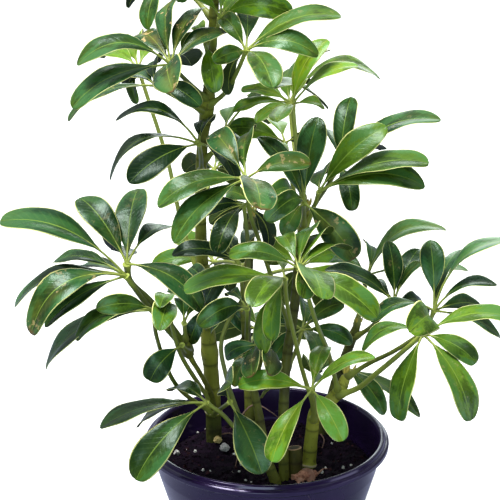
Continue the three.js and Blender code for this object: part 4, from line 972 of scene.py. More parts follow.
def lathe_tree():
    """The pot: its section turned round the axis, with a ring of drain holes cut through."""
    wiring, given = growing_tree("turned_pot", {
        "Section": "geometry", "Sides": POT_SIDES, "Ring": BASE_RADIUS * MM,
        "Holes": DRAIN_HOLES, "Hole radius": DRAIN_RADIUS * MM, "Hole ring": DRAIN_RING * MM,
        "Sharp angle": math.radians(SHARP_ANGLE), "Plastic": "material",
    })
    inputs = {
        "Curve": wiring.out("GeometryNodeMeshToCurve", {"Mesh": given["Section"]}),
        "Radius": attribute(wiring, "thickness"), "Count": FILLET_STEPS, "Limit Radius": True,
    }
    section = wiring.out("GeometryNodeFilletCurve", inputs, mode="POLY")
    inputs = {"Resolution": given["Sides"], "Radius": given["Ring"]}
    circle = wiring.out("GeometryNodeCurvePrimitiveCircle", inputs)
    turned = wiring.out("GeometryNodeCurveToMesh", {"Curve": circle, "Profile Curve": section})
    inputs = {"Vertices": DRILL_SIDES, "Radius": given["Hole radius"], "Depth": DRILL_DEPTH * MM}
    drill = wiring.out("GeometryNodeMeshCylinder", inputs, "Mesh")
    inputs = {"Vertices": given["Holes"], "Radius": given["Hole ring"]}
    ring = wiring.out("GeometryNodeMeshCircle", inputs)
    drills = wiring.out("GeometryNodeInstanceOnPoints", {"Points": ring, "Instance": drill})
    inputs = {
        "Mesh 1": merged(wiring, turned, SEAM_WELD),
        "Mesh 2": wiring.out("GeometryNodeRealizeInstances", {"Geometry": drills}),
    }
    drilled = wiring.out("GeometryNodeMeshBoolean", inputs, "Mesh", operation="DIFFERENCE")
    sharp = wiring.out("GeometryNodeInputMeshEdgeAngle") > given["Sharp angle"]
    inputs = {"Geometry": drilled, "Selection": sharp, "Shade Smooth": False}
    creased = wiring.out("GeometryNodeSetShadeSmooth", inputs, domain="EDGE")
    return wiring.close({0: finished(wiring, creased, given["Plastic"])})


def grain_tree():
    """A lumpy grain, 1 in radius, for perlite, crumbs and chips."""
    wiring, given = growing_tree("lumpy_grain", {"Subdivisions": 1, "Lumpiness": 0.5})
    inputs = {"Radius": 1.0, "Subdivisions": given["Subdivisions"]}
    ball = wiring.out("GeometryNodeMeshIcoSphere", inputs, "Mesh")
    position = wiring.out("GeometryNodeInputPosition")
    cloud = wiring.out("ShaderNodeTexNoise", {"Vector": position, "Scale": 1.3, "Detail": 1.0})
    inputs = {"Geometry": ball, "Offset": position * ((cloud - 0.5) * given["Lumpiness"])}
    return wiring.close({0: wiring.out("GeometryNodeSetPosition", inputs)})


def scattered(wiring, points, size, given, grains):
    """The tree closed with grains on some points, each turned its own way."""
    inputs = {1: (math.tau, math.tau, math.tau), "Seed": given["Seed"]}
    shape = {name: given[name] for name in ("Subdivisions", "Lumpiness")}
    inputs = {
        "Points": points,
        "Instance": wiring.group(grains, shape)["Geometry"],
        "Rotation": wiring.out("FunctionNodeRandomValue", inputs, data_type="FLOAT_VECTOR"),
        "Scale": size,
    }
    laid = wiring.out("GeometryNodeInstanceOnPoints", inputs)
    return wiring.close({0: finished(wiring, laid, given["Material"], smooth=False)})


def marked_grains_tree(grains):
    """One grain on each mark, of the size that the mark says."""
    wiring, given = growing_tree("grains_on_marks", {"Marks": "geometry", **GRAIN_INPUTS})
    return scattered(wiring, given["Marks"], attribute(wiring, "grain_size"), given, grains)


def strewn_grains_tree(grains):
    """Grains strewn over the upper side of a bed."""
    wiring, given = growing_tree("grains_on_bed", {
        "Bed": "geometry", "Density": 50000.0, "Smallest": 0.5 * MM, "Largest": 1.6 * MM,
        "Above": 0.1, **GRAIN_INPUTS,
    })
    position = wiring.out("GeometryNodeInputPosition")
    high = wiring.out("ShaderNodeSeparateXYZ", {0: position}, "Z") > given["Above"]
    upward = wiring.out("GeometryNodeInputNormal").dot(tuple(UP)) > 0.3
    inputs = {
        "Mesh": given["Bed"], "Selection": upward * high,
        "Density": given["Density"], "Seed": given["Seed"],
    }
    points = wiring.out("GeometryNodeDistributePointsOnFaces", inputs, "Points")
    inputs = {2: given["Smallest"], 3: given["Largest"], "Seed": given["Seed"]}
    size = wiring.out("FunctionNodeRandomValue", inputs, 1, data_type="FLOAT")
    return scattered(wiring, points, size, given, grains)


def grown(name, guide, tree, values):
    """The plain mesh that a tree makes from a guide, as an object at the origin."""
    carrier = new_object(name + "_guide", guide)
    modifier = carrier.modifiers.new("grow", "NODES")
    modifier.node_group = tree
    for item in tree.interface.items_tree:
        if item.item_type == "SOCKET" and item.in_out == "INPUT" and item.name in values:
            modifier[item.identifier] = values[item.name]
    depsgraph = bpy.context.evaluated_depsgraph_get()
    mesh = bpy.data.meshes.new_from_object(carrier.evaluated_get(depsgraph), depsgraph=depsgraph)
    bpy.data.objects.remove(carrier)
    mesh.name = name
    for spare in GUIDE_VECTORS + SPARE_NUMBERS:
        if spare in mesh.attributes:
            mesh.attributes.remove(mesh.attributes[spare])
    return new_object(name, mesh)


def settle(piece, slot, *nodes):
    """The finished piece rides on the one body and stands for its nodes, which it hides; its slot is not
    used.
    """
    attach(piece, "root")
    if nodes:
        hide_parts(*nodes)


# ---- shader groups ---------------------------------------------------------------------
def mottle_group():
    """Cloudy change between two colours, with its mask, at a grain size in metres."""
    inputs = {
        "Vector": "vector", "Grain": 0.01, "Contrast": 0.2,
        "One": (0.1, 0.1, 0.1, 1.0), "Other": (0.5, 0.5, 0.5, 1.0),
    }
    outputs = {"Colour": "colour", "Mask": "number"}
    wiring, given = new_tree("mottle", "ShaderNodeTree", inputs, outputs)
    inputs = {
        "Vector": given["Vector"], "Scale": 1.0 / given["Grain"], "Detail": 4.0, "Roughness": 0.6
    }
    cloud = wiring.out("ShaderNodeTexNoise", inputs)
    mask = cloud.ramp(0.5 - given["Contrast"], given["Contrast"] + 0.5)
    return wiring.close({"Colour": wiring.blend(mask, given["One"], given["Other"]), "Mask": mask})


def speck_group():
    """Scattered specks of a size in metres, as a mask: spots, scars, dust and lenticels."""
    inputs = {"Vector": "vector", "Size": 0.004, "Amount": 0.3}
    wiring, given = new_tree("specks", "ShaderNodeTree", inputs, {"Mask": "number"})
    inputs = {
        "Vector": given["Vector"], "Scale": 1.0 / given["Size"], "Detail": 3.0, "Roughness": 0.65
    }
    edge = 0.8 - given["Amount"] * 0.4
    return wiring.close({"Mask": wiring.out("ShaderNodeTexNoise", inputs).ramp(edge, edge + 0.05)})


def vein_group():
    """The pattern of a leaflet from its own across and along: midrib, side veins and margin."""
    inputs = {
        "Across": 0.0, "Along": 0.0, "Veins": 15.0, "Slant": -0.16, "Rib width": 0.045,
        "Rib length": 1.35, "Margin width": 0.09, "Margin edge": 0.05,
    }
    outputs = {"Midrib": "number", "Side veins": "number", "Margin": "number"}
    wiring, given = new_tree("leaflet_veins", "ShaderNodeTree", inputs, outputs)
    size = abs(given["Across"])
    rib = given["Rib width"] * (given["Rib length"] - given["Along"])
    slant = size**0.8 * given["Slant"] + given["Along"]
    lines = (slant * given["Veins"] * math.tau).sine().ramp(*ZONES["vein edge"])
    start = 1.0 - given["Margin width"]
    return wiring.close({
        "Midrib": 1.0 - (size / rib).ramp(*ZONES["rib edge"]),
        "Side veins": lines * (1.0 - size.ramp(*ZONES["vein fade"])),
        "Margin": size.ramp(start, start + given["Margin edge"]),
    })


mottle = mottle_group()
specks = speck_group()
leaflet_veins = vein_group()


# ---- materials -------------------------------------------------------------------------
class Finish(Wiring):
    """A material being wired, round its shader and the object's own coordinates."""

    def __init__(self, name):
        self.material = bpy.data.materials.new(name)
        self.material.use_nodes = True
        self.material.node_tree.nodes.clear()
        super().__init__(self.material.node_tree)
        self.shader = self.node("ShaderNodeBsdfPrincipled")
        self.node("ShaderNodeOutputMaterial", {"Surface": Wire(self, self.shader.outputs[0])})
        self.place = self.out("ShaderNodeTexCoord", output="Object")

    def value(self, name):
        """What the mesh holds at each point under a name."""
        return self.out("ShaderNodeAttribute", output="Fac", attribute_name=name)

    def mottled(self, one, other, grain, contrast, place_of=None):
        inputs = {
            "Vector": place_of or self.place, "Grain": grain, "Contrast": contrast,
            "One": one, "Other": other,
        }
        return self.group(mottle, inputs)

    def specked(self, size, amount):
        return self.group(specks, {"Vector": self.place, "Size": size, "Amount": amount})["Mask"]

    def layered(self, colour, *coats):
        """A colour with coats laid on it in turn, each a share and a colour."""
        for share, coat in coats:
            colour = self.blend(share, colour, coat)
        return colour

    def bumped(self, height, strength, depth):
        inputs = {"Height": height, "Strength": strength, "Distance": depth}
        return self.out("ShaderNodeBump", inputs, "Normal")

    def done(self, inputs):
        self.fill(self.shader, inputs)
        return self.material


def blade_material(name, colours):
    """Glossy leaflet skin: mottled green with painted sheen, pale midrib, side veins, thin pale margin, and
    an underside darkened as painted shade.
    """
    skin = Finish(name)
    across, along, below, tone, seed = (
        skin.value(key) for key in ("across", "along", "underside", "tone", "seed")
    )
    veins = skin.group(leaflet_veins, {"Across": across, "Along": along})
    deep = colours["deep"]
    vein = colours["vein"]
    cloud = skin.mottled(deep, colours["green"], grain=0.020, contrast=0.16)
    # Teal patches mottled over the green are painted sheen.
    sheen = skin.mottled(cloud["Colour"], colours["cool_sheen"], grain=0.036, contrast=0.08)
    # The middle of a leaflet and its tip are a warmer green; elsewhere the painted teal sheen stays.
    inward = 1.0 - abs(across).ramp(*ZONES["warm middle"])
    warm = (inward * 0.5).at_least(along.ramp(*ZONES["warm tip"]))
    warm = warm * (cloud["Mask"] * 0.5 + 0.25)
    # Long pale and dark streaks of painted sheen lie along each leaflet, paler towards its tip.
    inputs = {0: across, 1: along * SHEEN_STREAK_LENGTHS, 2: seed * SHEEN_STREAK_LAYERS}
    own_place = skin.out("ShaderNodeCombineXYZ", inputs)
    sheen_streak = skin.mottled(deep, colours["sheen_streak"], grain=1.0, contrast=0.09, place_of=own_place)
    share = along.ramp(*ZONES["sheen_streak"]) * SHARES["tip sheen streak"] + SHARES["sheen_streak"]
    sheen_streaked = abs(sheen_streak["Mask"] * 2.0 - 1.0) * share
    # A tone below 0 darkens a leaflet towards deep green, partly as painted shade.
    green = skin.layered(
        sheen["Colour"], (seed * SHARES["seed"], deep), (warm, colours["warm"]), (tone, colours["young"]),
        (sheen_streaked, sheen_streak["Colour"]), ((-tone).clamped(), deep),
        (veins["Side veins"] * SHARES["side vein"], vein), (veins["Midrib"] * SHARES["midrib"], vein),
    )
    # The underside is kept darker than a real one: painted shade under the blades.
    back = skin.layered(
        colours["back"], (cloud["Mask"], colours["back_light"]),
        ((tone * 1.5).clamped(), colours["back_young"]), (veins["Midrib"] * SHARES["back midrib"], vein),
    )
    # Bleached middles, corky spots and dead tips come on the worn leaves.
    worn = skin.value("worn") * seed.redrawn(WORN_DRAW).ramp(*ZONES["worn odds"])
    spots = (skin.specked(size=0.006, amount=0.5) * (worn * 1.3)).clamped()
    burnt = along.ramp(*ZONES["burnt tip"]) * worn.ramp(*ZONES["burnt odds"]) * SHARES["burnt"]
    colour = skin.layered(
        green, (below, back),
        (inward * worn * SHARES["bleach"] * cloud["Mask"], colours["bleached"]),
        (spots, colours["spot"]), (veins["Margin"] * SHARES["margin"], colours["margin"]),
        (burnt, colours["burnt"]),
    )
    height = sheen["Mask"] * 0.8 + cloud["Mask"] - veins["Side veins"] * 0.15
    return skin.done({
        "Base Color": colour,
        "Roughness": cloud["Mask"] * 0.10 + 0.25 + below * 0.3 + spots * 0.3,
        "IOR": 1.45,
        "Specular IOR Level": 0.36,
        "Specular Tint": (0.72, 1.0, 0.88, 1),
        "Coat Weight": 0.10 - below * 0.10,
        "Coat Roughness": 0.16,
        "Normal": skin.bumped(height, strength=0.45, depth=0.0005),
    })


def stalk_material(name, pale_green):
    """Leaf stalk: pale yellow-green at the hub, greener along, brown where it leaves the stem."""
    skin = Finish(name)
    colours = STALK_COLOURS
    cloud = skin.mottled(colours["dark"], colours["light"], grain=0.012, contrast=0.2)
    dots = skin.specked(size=0.003, amount=0.35)
    colour = skin.layered(
        cloud["Colour"], (skin.value("tone"), pale_green), (dots * 0.4, colours["cork"]),
        (skin.value("scar"), colours["scar"]),
    )
    return skin.done({
        "Base Color": colour,
        "Roughness": cloud["Mask"] * 0.12 + 0.36,
        "Normal": skin.bumped(dots, strength=0.3, depth=0.0003),
    })


def cane_material(name, colours):
    """Bark: dark olive to yellow, with corky specks, a brown ring at every leaf scar, and a dark plum-brown
    foot that is partly painted shade.
    """
    skin = Finish(name)
    tone = skin.value("tone")
    scar = skin.value("scar")
    cloud = skin.mottled(colours["dark"], colours["light"], grain=0.016, contrast=0.16)
    cork = skin.specked(size=0.0032, amount=0.5)
    yellow = (tone * (cloud["Mask"] * 0.25 + 0.75)).clamped()
    # A tone below 0 turns the bark to a dark plum-brown foot, partly the woody base and partly painted
    # shade.
    colour = skin.layered(
        cloud["Colour"], (yellow, colours["pale"]), ((-tone).clamped(), colours["foot"]),
        (cork * 0.5, colours["cork"]), (tone.ramp(1.1, 1.5), colours["ring"]),
        (scar * (0.6 - yellow * 0.6), colours["scar"]),
    )
    return skin.done({
        "Base Color": colour,
        "Roughness": cork * 0.2 + 0.48 + scar * 0.4,
        "Specular IOR Level": 0.3,
        "Normal": skin.bumped(cork * 0.6 + cloud["Mask"], strength=0.5, depth=0.0006),
    })


def pot_material(name, colours):
    """Thin navy plum plastic: smooth, faintly clouded, with a little dried soil on it."""
    skin = Finish(name)
    cloud = skin.mottled(colours["dark"], colours["light"], grain=0.05, contrast=0.2)
    dust = skin.specked(size=0.006, amount=0.3)
    return skin.done({
        "Base Color": skin.layered(cloud["Colour"], (dust * 0.35, colours["dust"])),
        "Roughness": dust * 0.35 + 0.18 + cloud["Mask"] * 0.08,
        "IOR": 1.5,
        "Specular Tint": (0.60, 0.52, 1.0, 1),
        "Coat Weight": 0.4,
        "Coat Roughness": 0.08,
        "Normal": skin.bumped(cloud["Mask"], strength=0.12, depth=0.0005),
    })


def soil_material(name, dark, light, grain):
    """Peaty potting mix."""
    skin = Finish(name)
    cloud = skin.mottled(dark, light, grain, contrast=0.14)
    crumbs = skin.specked(size=0.25 * grain, amount=0.6)
    return skin.done({
        "Base Color": skin.layered(cloud["Colour"], (crumbs * 0.4, light)),
        "Roughness": 0.92,
        "Specular IOR Level": 0.15,
        "Normal": skin.bumped(crumbs * 0.6 + cloud["Mask"], strength=0.8, depth=0.0012),
    })


def perlite_material(name, dark, light):
    """A pale mineral grain, a little soiled."""
    skin = Finish(name)
    cloud = skin.mottled(dark, light, grain=0.0015, contrast=0.25)
    normal = skin.bumped(cloud["Mask"], strength=0.6, depth=0.0004)
    return skin.done({"Base Color": cloud["Colour"], "Roughness": 0.9, "Normal": normal})


leaf_skin = blade_material("glossy_leaf", LEAF_COLOURS)
young_skin = blade_material("glossy_young_leaf", YOUNG_COLOURS)
stalk_skin = stalk_material("green_leaf_stalk", STALK_COLOURS["pale"])
bud_skin = stalk_material("yellow_bud", STALK_COLOURS["bud"])
bark = cane_material("olive_cane_bark", CANE_COLOURS)
stub_bark = cane_material("cut_stub_bark", STUB_COLOURS)
thin_root_bark = cane_material("thin_root", THIN_ROOT_COLOURS)
thick_root_bark = cane_material("orange_root", THICK_ROOT_COLOURS)
plastic = pot_material("navy_pot_plastic", POT_COLOURS)
soil_skin, crumb_skin, chip_skin = (soil_material(*look) for look in SOIL_LOOKS)
white_skin, grey_skin, yellow_skin = (perlite_material(*look) for look in GRAIN_LOOKS)
stalks_along_paths = stalk_tree()


# ---- canes -----------------------------------------------------------------------------
def ring_heights(marks, width, run, downs, rng):
    """How far each point of a stem is inside one of its rings, from 0 to 1."""
    rings = np.zeros(len(run))
    for down in marks:
        middle = run[int(np.argmin(np.abs(downs - down)))] + rng.uniform(-RING_STRAY, RING_STRAY)
        rings = np.maximum(rings, hump(run - middle, width))
    return rings


def cane_path(guide, stem, rng):
    """A cane with a raised ring at each leaf scar, and a rounded or a cut tip."""
    points = [place(mark) for mark in stem["marks"]]
    path, run, shares = smooth_path(points, CANE_STEP)
    radii = [mark[3] for mark in stem["marks"]]
    thick = np.interp(shares * (len(radii) - 1), range(len(radii)), radii)
    downs = np.array([down_of(point) for point in path])
    rings = {}
    for kind, (width, rise) in STEM_RINGS.items():
        rings[kind] = ring_heights(stem.get(kind, []), width, run, downs, rng)
        thick = thick + rise * rings[kind]
    scars = rings["scars"]
    thick += UNEVEN * np.sin(run * UNEVEN_WAVES[0]) * np.sin(run * UNEVEN_WAVES[1] + 1.0)
    pale = np.interp(downs, *zip(*stem.get("paleness", PLAIN_PALENESS)))
    pale = np.maximum(pale * (1 - 0.5 * scars), COLLAR_PALENESS * rings["collars"])
    if stem.get("cut"):
        path, thick, scars, pale = cut_end(path, thick, scars, pale)
    else:
        tip = np.clip((run[-1] - run) / (TIP_LENGTH * radii[-1]), 0.0, 1.0)
        thick = thick * np.sqrt(np.clip(1.0 - (1.0 - tip) ** 2, 0.01, 1.0))
    guide.path(path, thick, scar=np.clip(scars * 0.8, 0, 1), tone=pale, seed=rng.uniform())


def cut_end(path, thick, scars, pale):
    """A stem sawn off square: rings of shrinking size close it, with a pale rim."""
    way = unit(path[-1] - path[-2])
    extra = [path[-1] + way * (CUT_STEP * (k + 1)) for k in range(len(CUT_RINGS))]
    sizes, rims = zip(*CUT_RINGS)
    path = np.concatenate([path, extra])
    thick = np.concatenate([thick, thick[-1] * np.array(sizes)])
    return path, thick, np.concatenate([scars, np.ones(len(sizes))]), np.concatenate([pale, rims])


def add_canes():
    rng = np.random.default_rng(CANE_SEED)
    for name, stems in CANE_PIECES.items():
        guide = Guide()
        for stem in stems:
            cane_path(guide, STEMS[stem], rng)
        cut = name == "cut_stub"
        values = {"Sides": CANE_SIDES, "Bark": stub_bark if cut else bark}
        piece = grown(name + "_bark", guide.mesh(name), stalks_along_paths, values)
        settle(piece, "stub" if cut else "cane", name)


def add_buds():
    """Pointed yellow sheaths round the growing tip of each shoot."""
    rng = np.random.default_rng(BUD_SEED)
    guide = Guide()
    for stem, count, length in BUDS:
        below, top = (place(mark) for mark in STEMS[stem]["marks"][-2:])
        way = unit(top - below)
        root = top - way * BUD_SINK
        for k in range(count):
            turn = math.tau * k / count + rng.uniform(-BUD_STRAY, BUD_STRAY)
            lean = np.array([math.cos(turn), math.sin(turn), 0.0]) * BUD_LEAN
            reach = length * rng.uniform(*BUD_LENGTHS)
            marks = [root, root + (0.5 * way + lean) * reach, root + (way + 1.2 * lean) * reach]
            path, run, _ = smooth_path(marks, BUD_STEP)
            share = run / run[-1]
            thick = BUD_WIDTH * (0.35 + 2.2 * share) * (1.0 - share) ** 0.8 + BUD_POINT
            scar = np.clip(share * 3.0 - 2.2, 0, 1)
            guide.path(path, thick, tone=1.0, scar=scar, seed=rng.uniform())
    values = {"Sides": BUD_SIDES, "Bark": bud_skin}
    settle(grown("shoot_buds", guide.mesh("shoot_buds"), stalks_along_paths, values), "young_leaf")


# ---- compound leaves -------------------------------------------------------------------
def leaflet_tip(hub, leaflet, length, shift):
    line = unit(sight_line(leaflet[0], leaflet[1]))
    foot = EYE + line * (hub - EYE).dot(line)
    off = np.linalg.norm(foot - hub)
    reach = math.sqrt(length**2 - off**2) if off < length else 0.0
    return foot + line * (leaflet[2] * reach + shift)


def leaflet_frame(hub, axis, leaflet, tip):
    """The knee of a leaflet's arched midrib, its width's direction, half of that, and its normal."""
    span = np.linalg.norm(tip - hub)
    chord = (tip - hub) / span
    sight = (hub + tip) / 2 - EYE
    across = unit(np.cross(chord, sight))
    deep = unit(np.cross(across, chord))
    seen = leaflet[3] * np.linalg.norm(sight) / STEPS_PER_UNIT
    width = max(seen, span * LEAFLET_SLENDERNESS)
    turn = math.acos(min(1.0, seen / width))
    sides = [across * math.cos(turn) + sign * deep * math.sin(turn) for sign in (1, -1)]
    side = max(sides, key=lambda trial: abs(np.cross(trial, chord).dot(axis)))
    if np.cross(side, chord).dot(axis) < 0:
        side = -side
    normal = np.cross(side, chord)
    lift = axis - chord * axis.dot(chord)
    if np.linalg.norm(lift) < LEAST_LIFT:
        lift = normal
    lift = unit(unit(lift) + normal)
    arch = leaflet[4] if len(leaflet) > 4 else LEAFLET_ARCH
    knee = hub + (tip - hub) * KNEE_SHARE + lift * 2 * arch
    return knee, side, width / 2, normal


def settled_tip(hub, leaflet, length, corners):
    """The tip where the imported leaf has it: on its sight line, nearer or farther."""
    for attempt in range(2 * BEND_TRIES):
        sign = 1 if attempt % 2 == 0 else -1
        tip = leaflet_tip(hub, leaflet, length, sign * math.ceil(attempt / 2) * BEND_STEP)
        if np.min(np.linalg.norm(corners - tip, axis=1)) < TIP_MATCH:
            return tip
    return None


def arched(hub, knee, tip, share):
    back = 1 - share
    return hub * back**2 + knee * 2 * back * share + tip * share**2


def packed_corners(node):
    """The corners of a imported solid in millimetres."""
    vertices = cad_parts[node].data.vertices
    corners = np.empty(3 * len(vertices), dtype=np.float32)
    vertices.foreach_get("co", corners)
    return corners.reshape(-1, 3) / MM


def add_stalk(guide, name, hub, way, root, tone, rng):
    """The stalk from the hub to the stem, swollen at both ends and pale at the hub."""
    path, run, _ = smooth_path([hub, *way, root], PATH_STEP)
    left = run[-1] - run
    thick = STALK_RADIUS + STALK_SPREAD * run / run[-1] + HUB_SWELL * hump(run, HUB_LENGTH)
    thick += BASE_SWELL * hump(left - BASE_SPOT, BASE_LENGTH)
    thick *= STOUT_STALKS.get(name, 1.0)
    pale = STALK_PALENESS * (0.25 + 0.8 * hump(run, PALE_LENGTH) + 1.2 * max(0.0, tone))
    pale += 0.5 * hump(left, BASE_PALE_LENGTH)
    scar = 0.8 * hump(left, SCAR_LENGTH)
    guide.path(path, thick, scar=scar, tone=np.clip(pale, 0, 1), seed=rng.uniform())


def add_leaflet(guide, name, hub, axis, leaflet, tip, tone, rng):
    """A leaflet's mark, and its own stalk, which runs on under the blade as its midrib."""
    knee, side, half, normal = leaflet_frame(hub, axis, leaflet, tip)
    seed = rng.uniform()
    tone = min(1.0, max(-1.0, tone + rng.uniform(*TONE_STRAY)))
    stalk = leaflet[5] if len(leaflet) > 5 else STALK_SHARE
    guide.mark(
        np.zeros(3), hub=hub * MM, knee=knee * MM, tip=tip * MM, side=side,
        half_width=half * MM, tone=tone, seed=seed, worn=WORN.get(name, LEAST_WORN),
        leaflet_here=1.0, blade_start=stalk - BLADE_SHOULDER,
    )
    shares = np.concatenate([np.linspace(0.0, stalk, 5), np.linspace(stalk + 0.08, RIB_END, 8)])
    sink = np.clip((shares - stalk + 0.05) / 0.12, 0, 1) * RIB_SINK
    rib = [arched(hub, knee, tip, share) - normal * low for share, low in zip(shares, sink)]
    spots = [0.0, 0.05, stalk + 0.03, stalk + 0.17, RIB_END]
    guide.path(rib, np.interp(shares, spots, RIB_RADII), tone=RIB_PALENESS, seed=seed)


def add_leaf(name, tree, rng):
    hub_mark, stem, down, length, tone, way, leaflets = FRONDS[name]
    hub = place(hub_mark)
    way = [place(mark) for mark in way]
    axis = unit(unit(hub - way[0]) * STALK_TILT + UP)
    corners = packed_corners("frond_" + name)
    guide = Guide()
    add_stalk(guide, name, hub, way, point_on_stem(stem, down), tone, rng)
    for leaflet in leaflets:
        tip = settled_tip(hub, leaflet, length, corners)
        if tip is None:
            print("no leaflet on", name, leaflet)
        else:
            add_leaflet(guide, name, hub, axis, leaflet, tip, tone, rng)
    young = name in YOUNG
    values = {"Stalk skin": stalk_skin, "Blade skin": young_skin if young else leaf_skin}
    piece = grown("leaf_" + name, guide.mesh(name), tree, values)
    settle(piece, "young_leaf" if young else "leaf", "frond_" + name)


def add_leaves():
    rng = np.random.default_rng(LEAF_SEED)
    tree = compound_leaf_tree()
    for name in FRONDS:
        add_leaf(name, tree, rng)


# ---- pot -------------------------------------------------------------------------------
def pot_section():
    """The pot's section as (radius, height, fillet), from the middle of the base round to the floor."""
    wall = [
        (STEP_RADIUS, STEP_HEIGHT, 0.8), (COLLAR_RADIUS, COLLAR_HEIGHT, 0.8),
        (SWELL_RADIUS, SWELL_HEIGHT, 8.0), (SHOULDER_RADIUS, SHOULDER_HEIGHT - 1.0, 0.8),
    ]
    return [
        (0.0, 0.0, 0.0), (BASE_RADIUS - 6.0, 0.0, 0.4), (BASE_RADIUS - 5.0, 0.9, 0.4),
        (BASE_RADIUS - 3.0, 0.9, 0.4), (BASE_RADIUS - 2.0, 0.0, 0.5),
        (BASE_RADIUS + 0.2, 0.0, 1.4), (BASE_RADIUS + 1.8, 3.4, 1.2),
        (STEP_RADIUS, STEP_HEIGHT, 0.8), (COLLAR_RADIUS, COLLAR_HEIGHT, 1.0),
        (SWELL_RADIUS, SWELL_HEIGHT, 8.0), (SHOULDER_RADIUS, SHOULDER_HEIGHT, 0.7),
        (79.0, 121.5, 0.9), (RIM_RADIUS - 0.2, 122.6, 0.9), (RIM_RADIUS, 125.4, 0.9),
        (79.2, 126.4, 0.5), (78.0, 126.7, 0.5), (77.4, POT_HEIGHT - 0.5, 0.8),
        (76.2, POT_HEIGHT, 0.7), (74.9, POT_HEIGHT - 0.4, 0.8), (73.9, 127.2, 0.8),
        *((radius - POT_WALL, height, fillet) for radius, height, fillet in reversed(wall)),
        (BASE_RADIUS + 1.4 - POT_WALL, FLOOR_THICKNESS, 1.0), (0.0, FLOOR_THICKNESS, 0.0),
    ]


def face_outwards(mesh):
    work = bmesh.new()
    work.from_mesh(mesh)
    bmesh.ops.remove_doubles(work, verts=work.verts, dist=DOUBLES_WELD * MM)
    bmesh.ops.recalc_face_normals(work, faces=work.faces)
    if work.calc_volume(signed=True) < 0:
        bmesh.ops.reverse_faces(work, faces=work.faces)
    work.to_mesh(mesh)
    work.free()


def add_pot():
    guide = Guide()
    section = pot_section()
    # The tree's ring adds its own radius and turns the section over, so both are taken off here.
    points = [np.array([radius - BASE_RADIUS, -height, 0.0]) for radius, height, _ in section]
    guide.path(points, [fillet for _, _, fillet in section])
    piece = grown("pot_plastic", guide.mesh("pot_section"), lathe_tree(), {"Plastic": plastic})
    face_outwards(piece.data)
    settle(piece, "pot", "pot")


# ---- soil ------------------------------------------------------------------------------
def soil_height(x, y):
    height = SOIL_LEVEL
    for rise, across, start_across, away, start_away in SOIL_WAVES:
        height += rise * math.sin(x * across + start_across) * math.cos(y * away + start_away)
    return height


def soil_top(x, y):
    """The soil's height with its clods, falling to the pot's wall at the edge."""
    clods = sum(
        share * noise.noise(Vector((x * scale, y * scale, layer)))
        for share, scale, layer in CLOD_SIZES
    )
    inward = min(1.0, (SOIL_EDGE_RADIUS - math.hypot(x, y)) / SOIL_EDGE_WIDTH)
    blend = 1 - (1 - max(0.0, inward)) ** 2
    return SOIL_EDGE_LEVEL + blend * (soil_height(x, y) - SOIL_EDGE_LEVEL + SOIL_CLODS * clods)


def soil_bed():
    """The whole filling: flat bottom, the pot's inner shape, and the lumpy top."""
    bottom = FLOOR_THICKNESS + SOIL_GAP
    room = POT_WALL + SOIL_GAP
    sides = [
        (0.01, bottom), (BASE_RADIUS + 1.0 - POT_WALL, bottom),
        (STEP_RADIUS - room, STEP_HEIGHT), (COLLAR_RADIUS - room, COLLAR_HEIGHT),
    ]
    tops = [(SOIL_EDGE_RADIUS * step / SOIL_RINGS, None) for step in range(SOIL_RINGS, 0, -1)]
    work = bmesh.new()
    rings = []
    for radius, height in sides + tops:
        ring = []
        for k in range(SOIL_SIDES):
            turn = math.tau * k / SOIL_SIDES
            x = radius * math.cos(turn)
            y = radius * math.sin(turn)
            z = soil_top(x, y) if height is None else height
            ring.append(work.verts.new((x * MM, y * MM, z * MM)))
        rings.append(ring)
    turns = [(k, (k + 1) % SOIL_SIDES) for k in range(SOIL_SIDES)]
    for lower, upper in zip(rings, rings[1:]):
        for k, after in turns:
            work.faces.new((lower[k], lower[after], upper[after], upper[k]))
    middle = work.verts.new((0, 0, soil_top(0, 0) * MM))
    for k, after in turns:
        work.faces.new((rings[-1][k], rings[-1][after], middle))
    bmesh.ops.contextual_create(work, geom=rings[0])
    for face in work.faces:
        face.smooth = True
    mesh = bpy.data.meshes.new("soil_bed")
    work.to_mesh(mesh)
    work.free()
    face_outwards(mesh)
    mesh.materials.append(soil_skin)
    return mesh


def on_soil(across, down, lift=0.0):
    """The point of the soil's surface that is seen at a mark."""
    line = sight_line(across, down)
    height = SOIL_LEVEL
    for _ in range(SOIL_SIGHTINGS):
        point = EYE + line * ((height - EYE[2]) / line[2])
        height = soil_top(point[0], point[1])
    return np.array([point[0], point[1], height + lift])


def add_grains(name, marks, tree, skin, values):
    """Grains on marks, each (its point, its radius in mm)."""
    guide = Guide()
    for point, radius in marks:
        guide.mark(point, grain_size=radius * MM)
    settle(grown(name, guide.mesh(name), tree, {**values, "Material": skin}), "soil")


def stray_grains(rng):
    for _ in range(STRAY_GRAINS):
        turn = rng.uniform(0, math.tau)
        reach = SOIL_EDGE_RADIUS * math.sqrt(rng.uniform(*STRAY_SPREAD))
        x, y = reach * math.cos(turn), reach * math.sin(turn)
        radius = rng.uniform(*STRAY_RADII)
        yield np.array([x, y, soil_top(x, y) + STRAY_RISE * radius]), radius


def lumps_on_soil(lumps, rise):
    """Marks for lumps whose middles stand over the soil by a share of their radius."""
    return [(on_soil(across, down, rise * radius), radius) for across, down, radius in lumps]


def add_roots(name, roots, skin, rng):
    guide = Guide()
    for marks, radius in roots:
        path, run, _ = smooth_path([on_soil(*mark) for mark in marks], PATH_STEP)
        thick = radius * (0.75 + 0.25 * np.cos(run / run[-1] * 3.0 + 0.4 * np.sin(run * 1.3)))
        guide.path(path, thick, tone=ROOT_PALENESS, seed=rng.uniform())
    values = {"Sides": ROOT_SIDES, "Bark": skin}
    settle(grown(name, guide.mesh(name), stalks_along_paths, values), "soil")


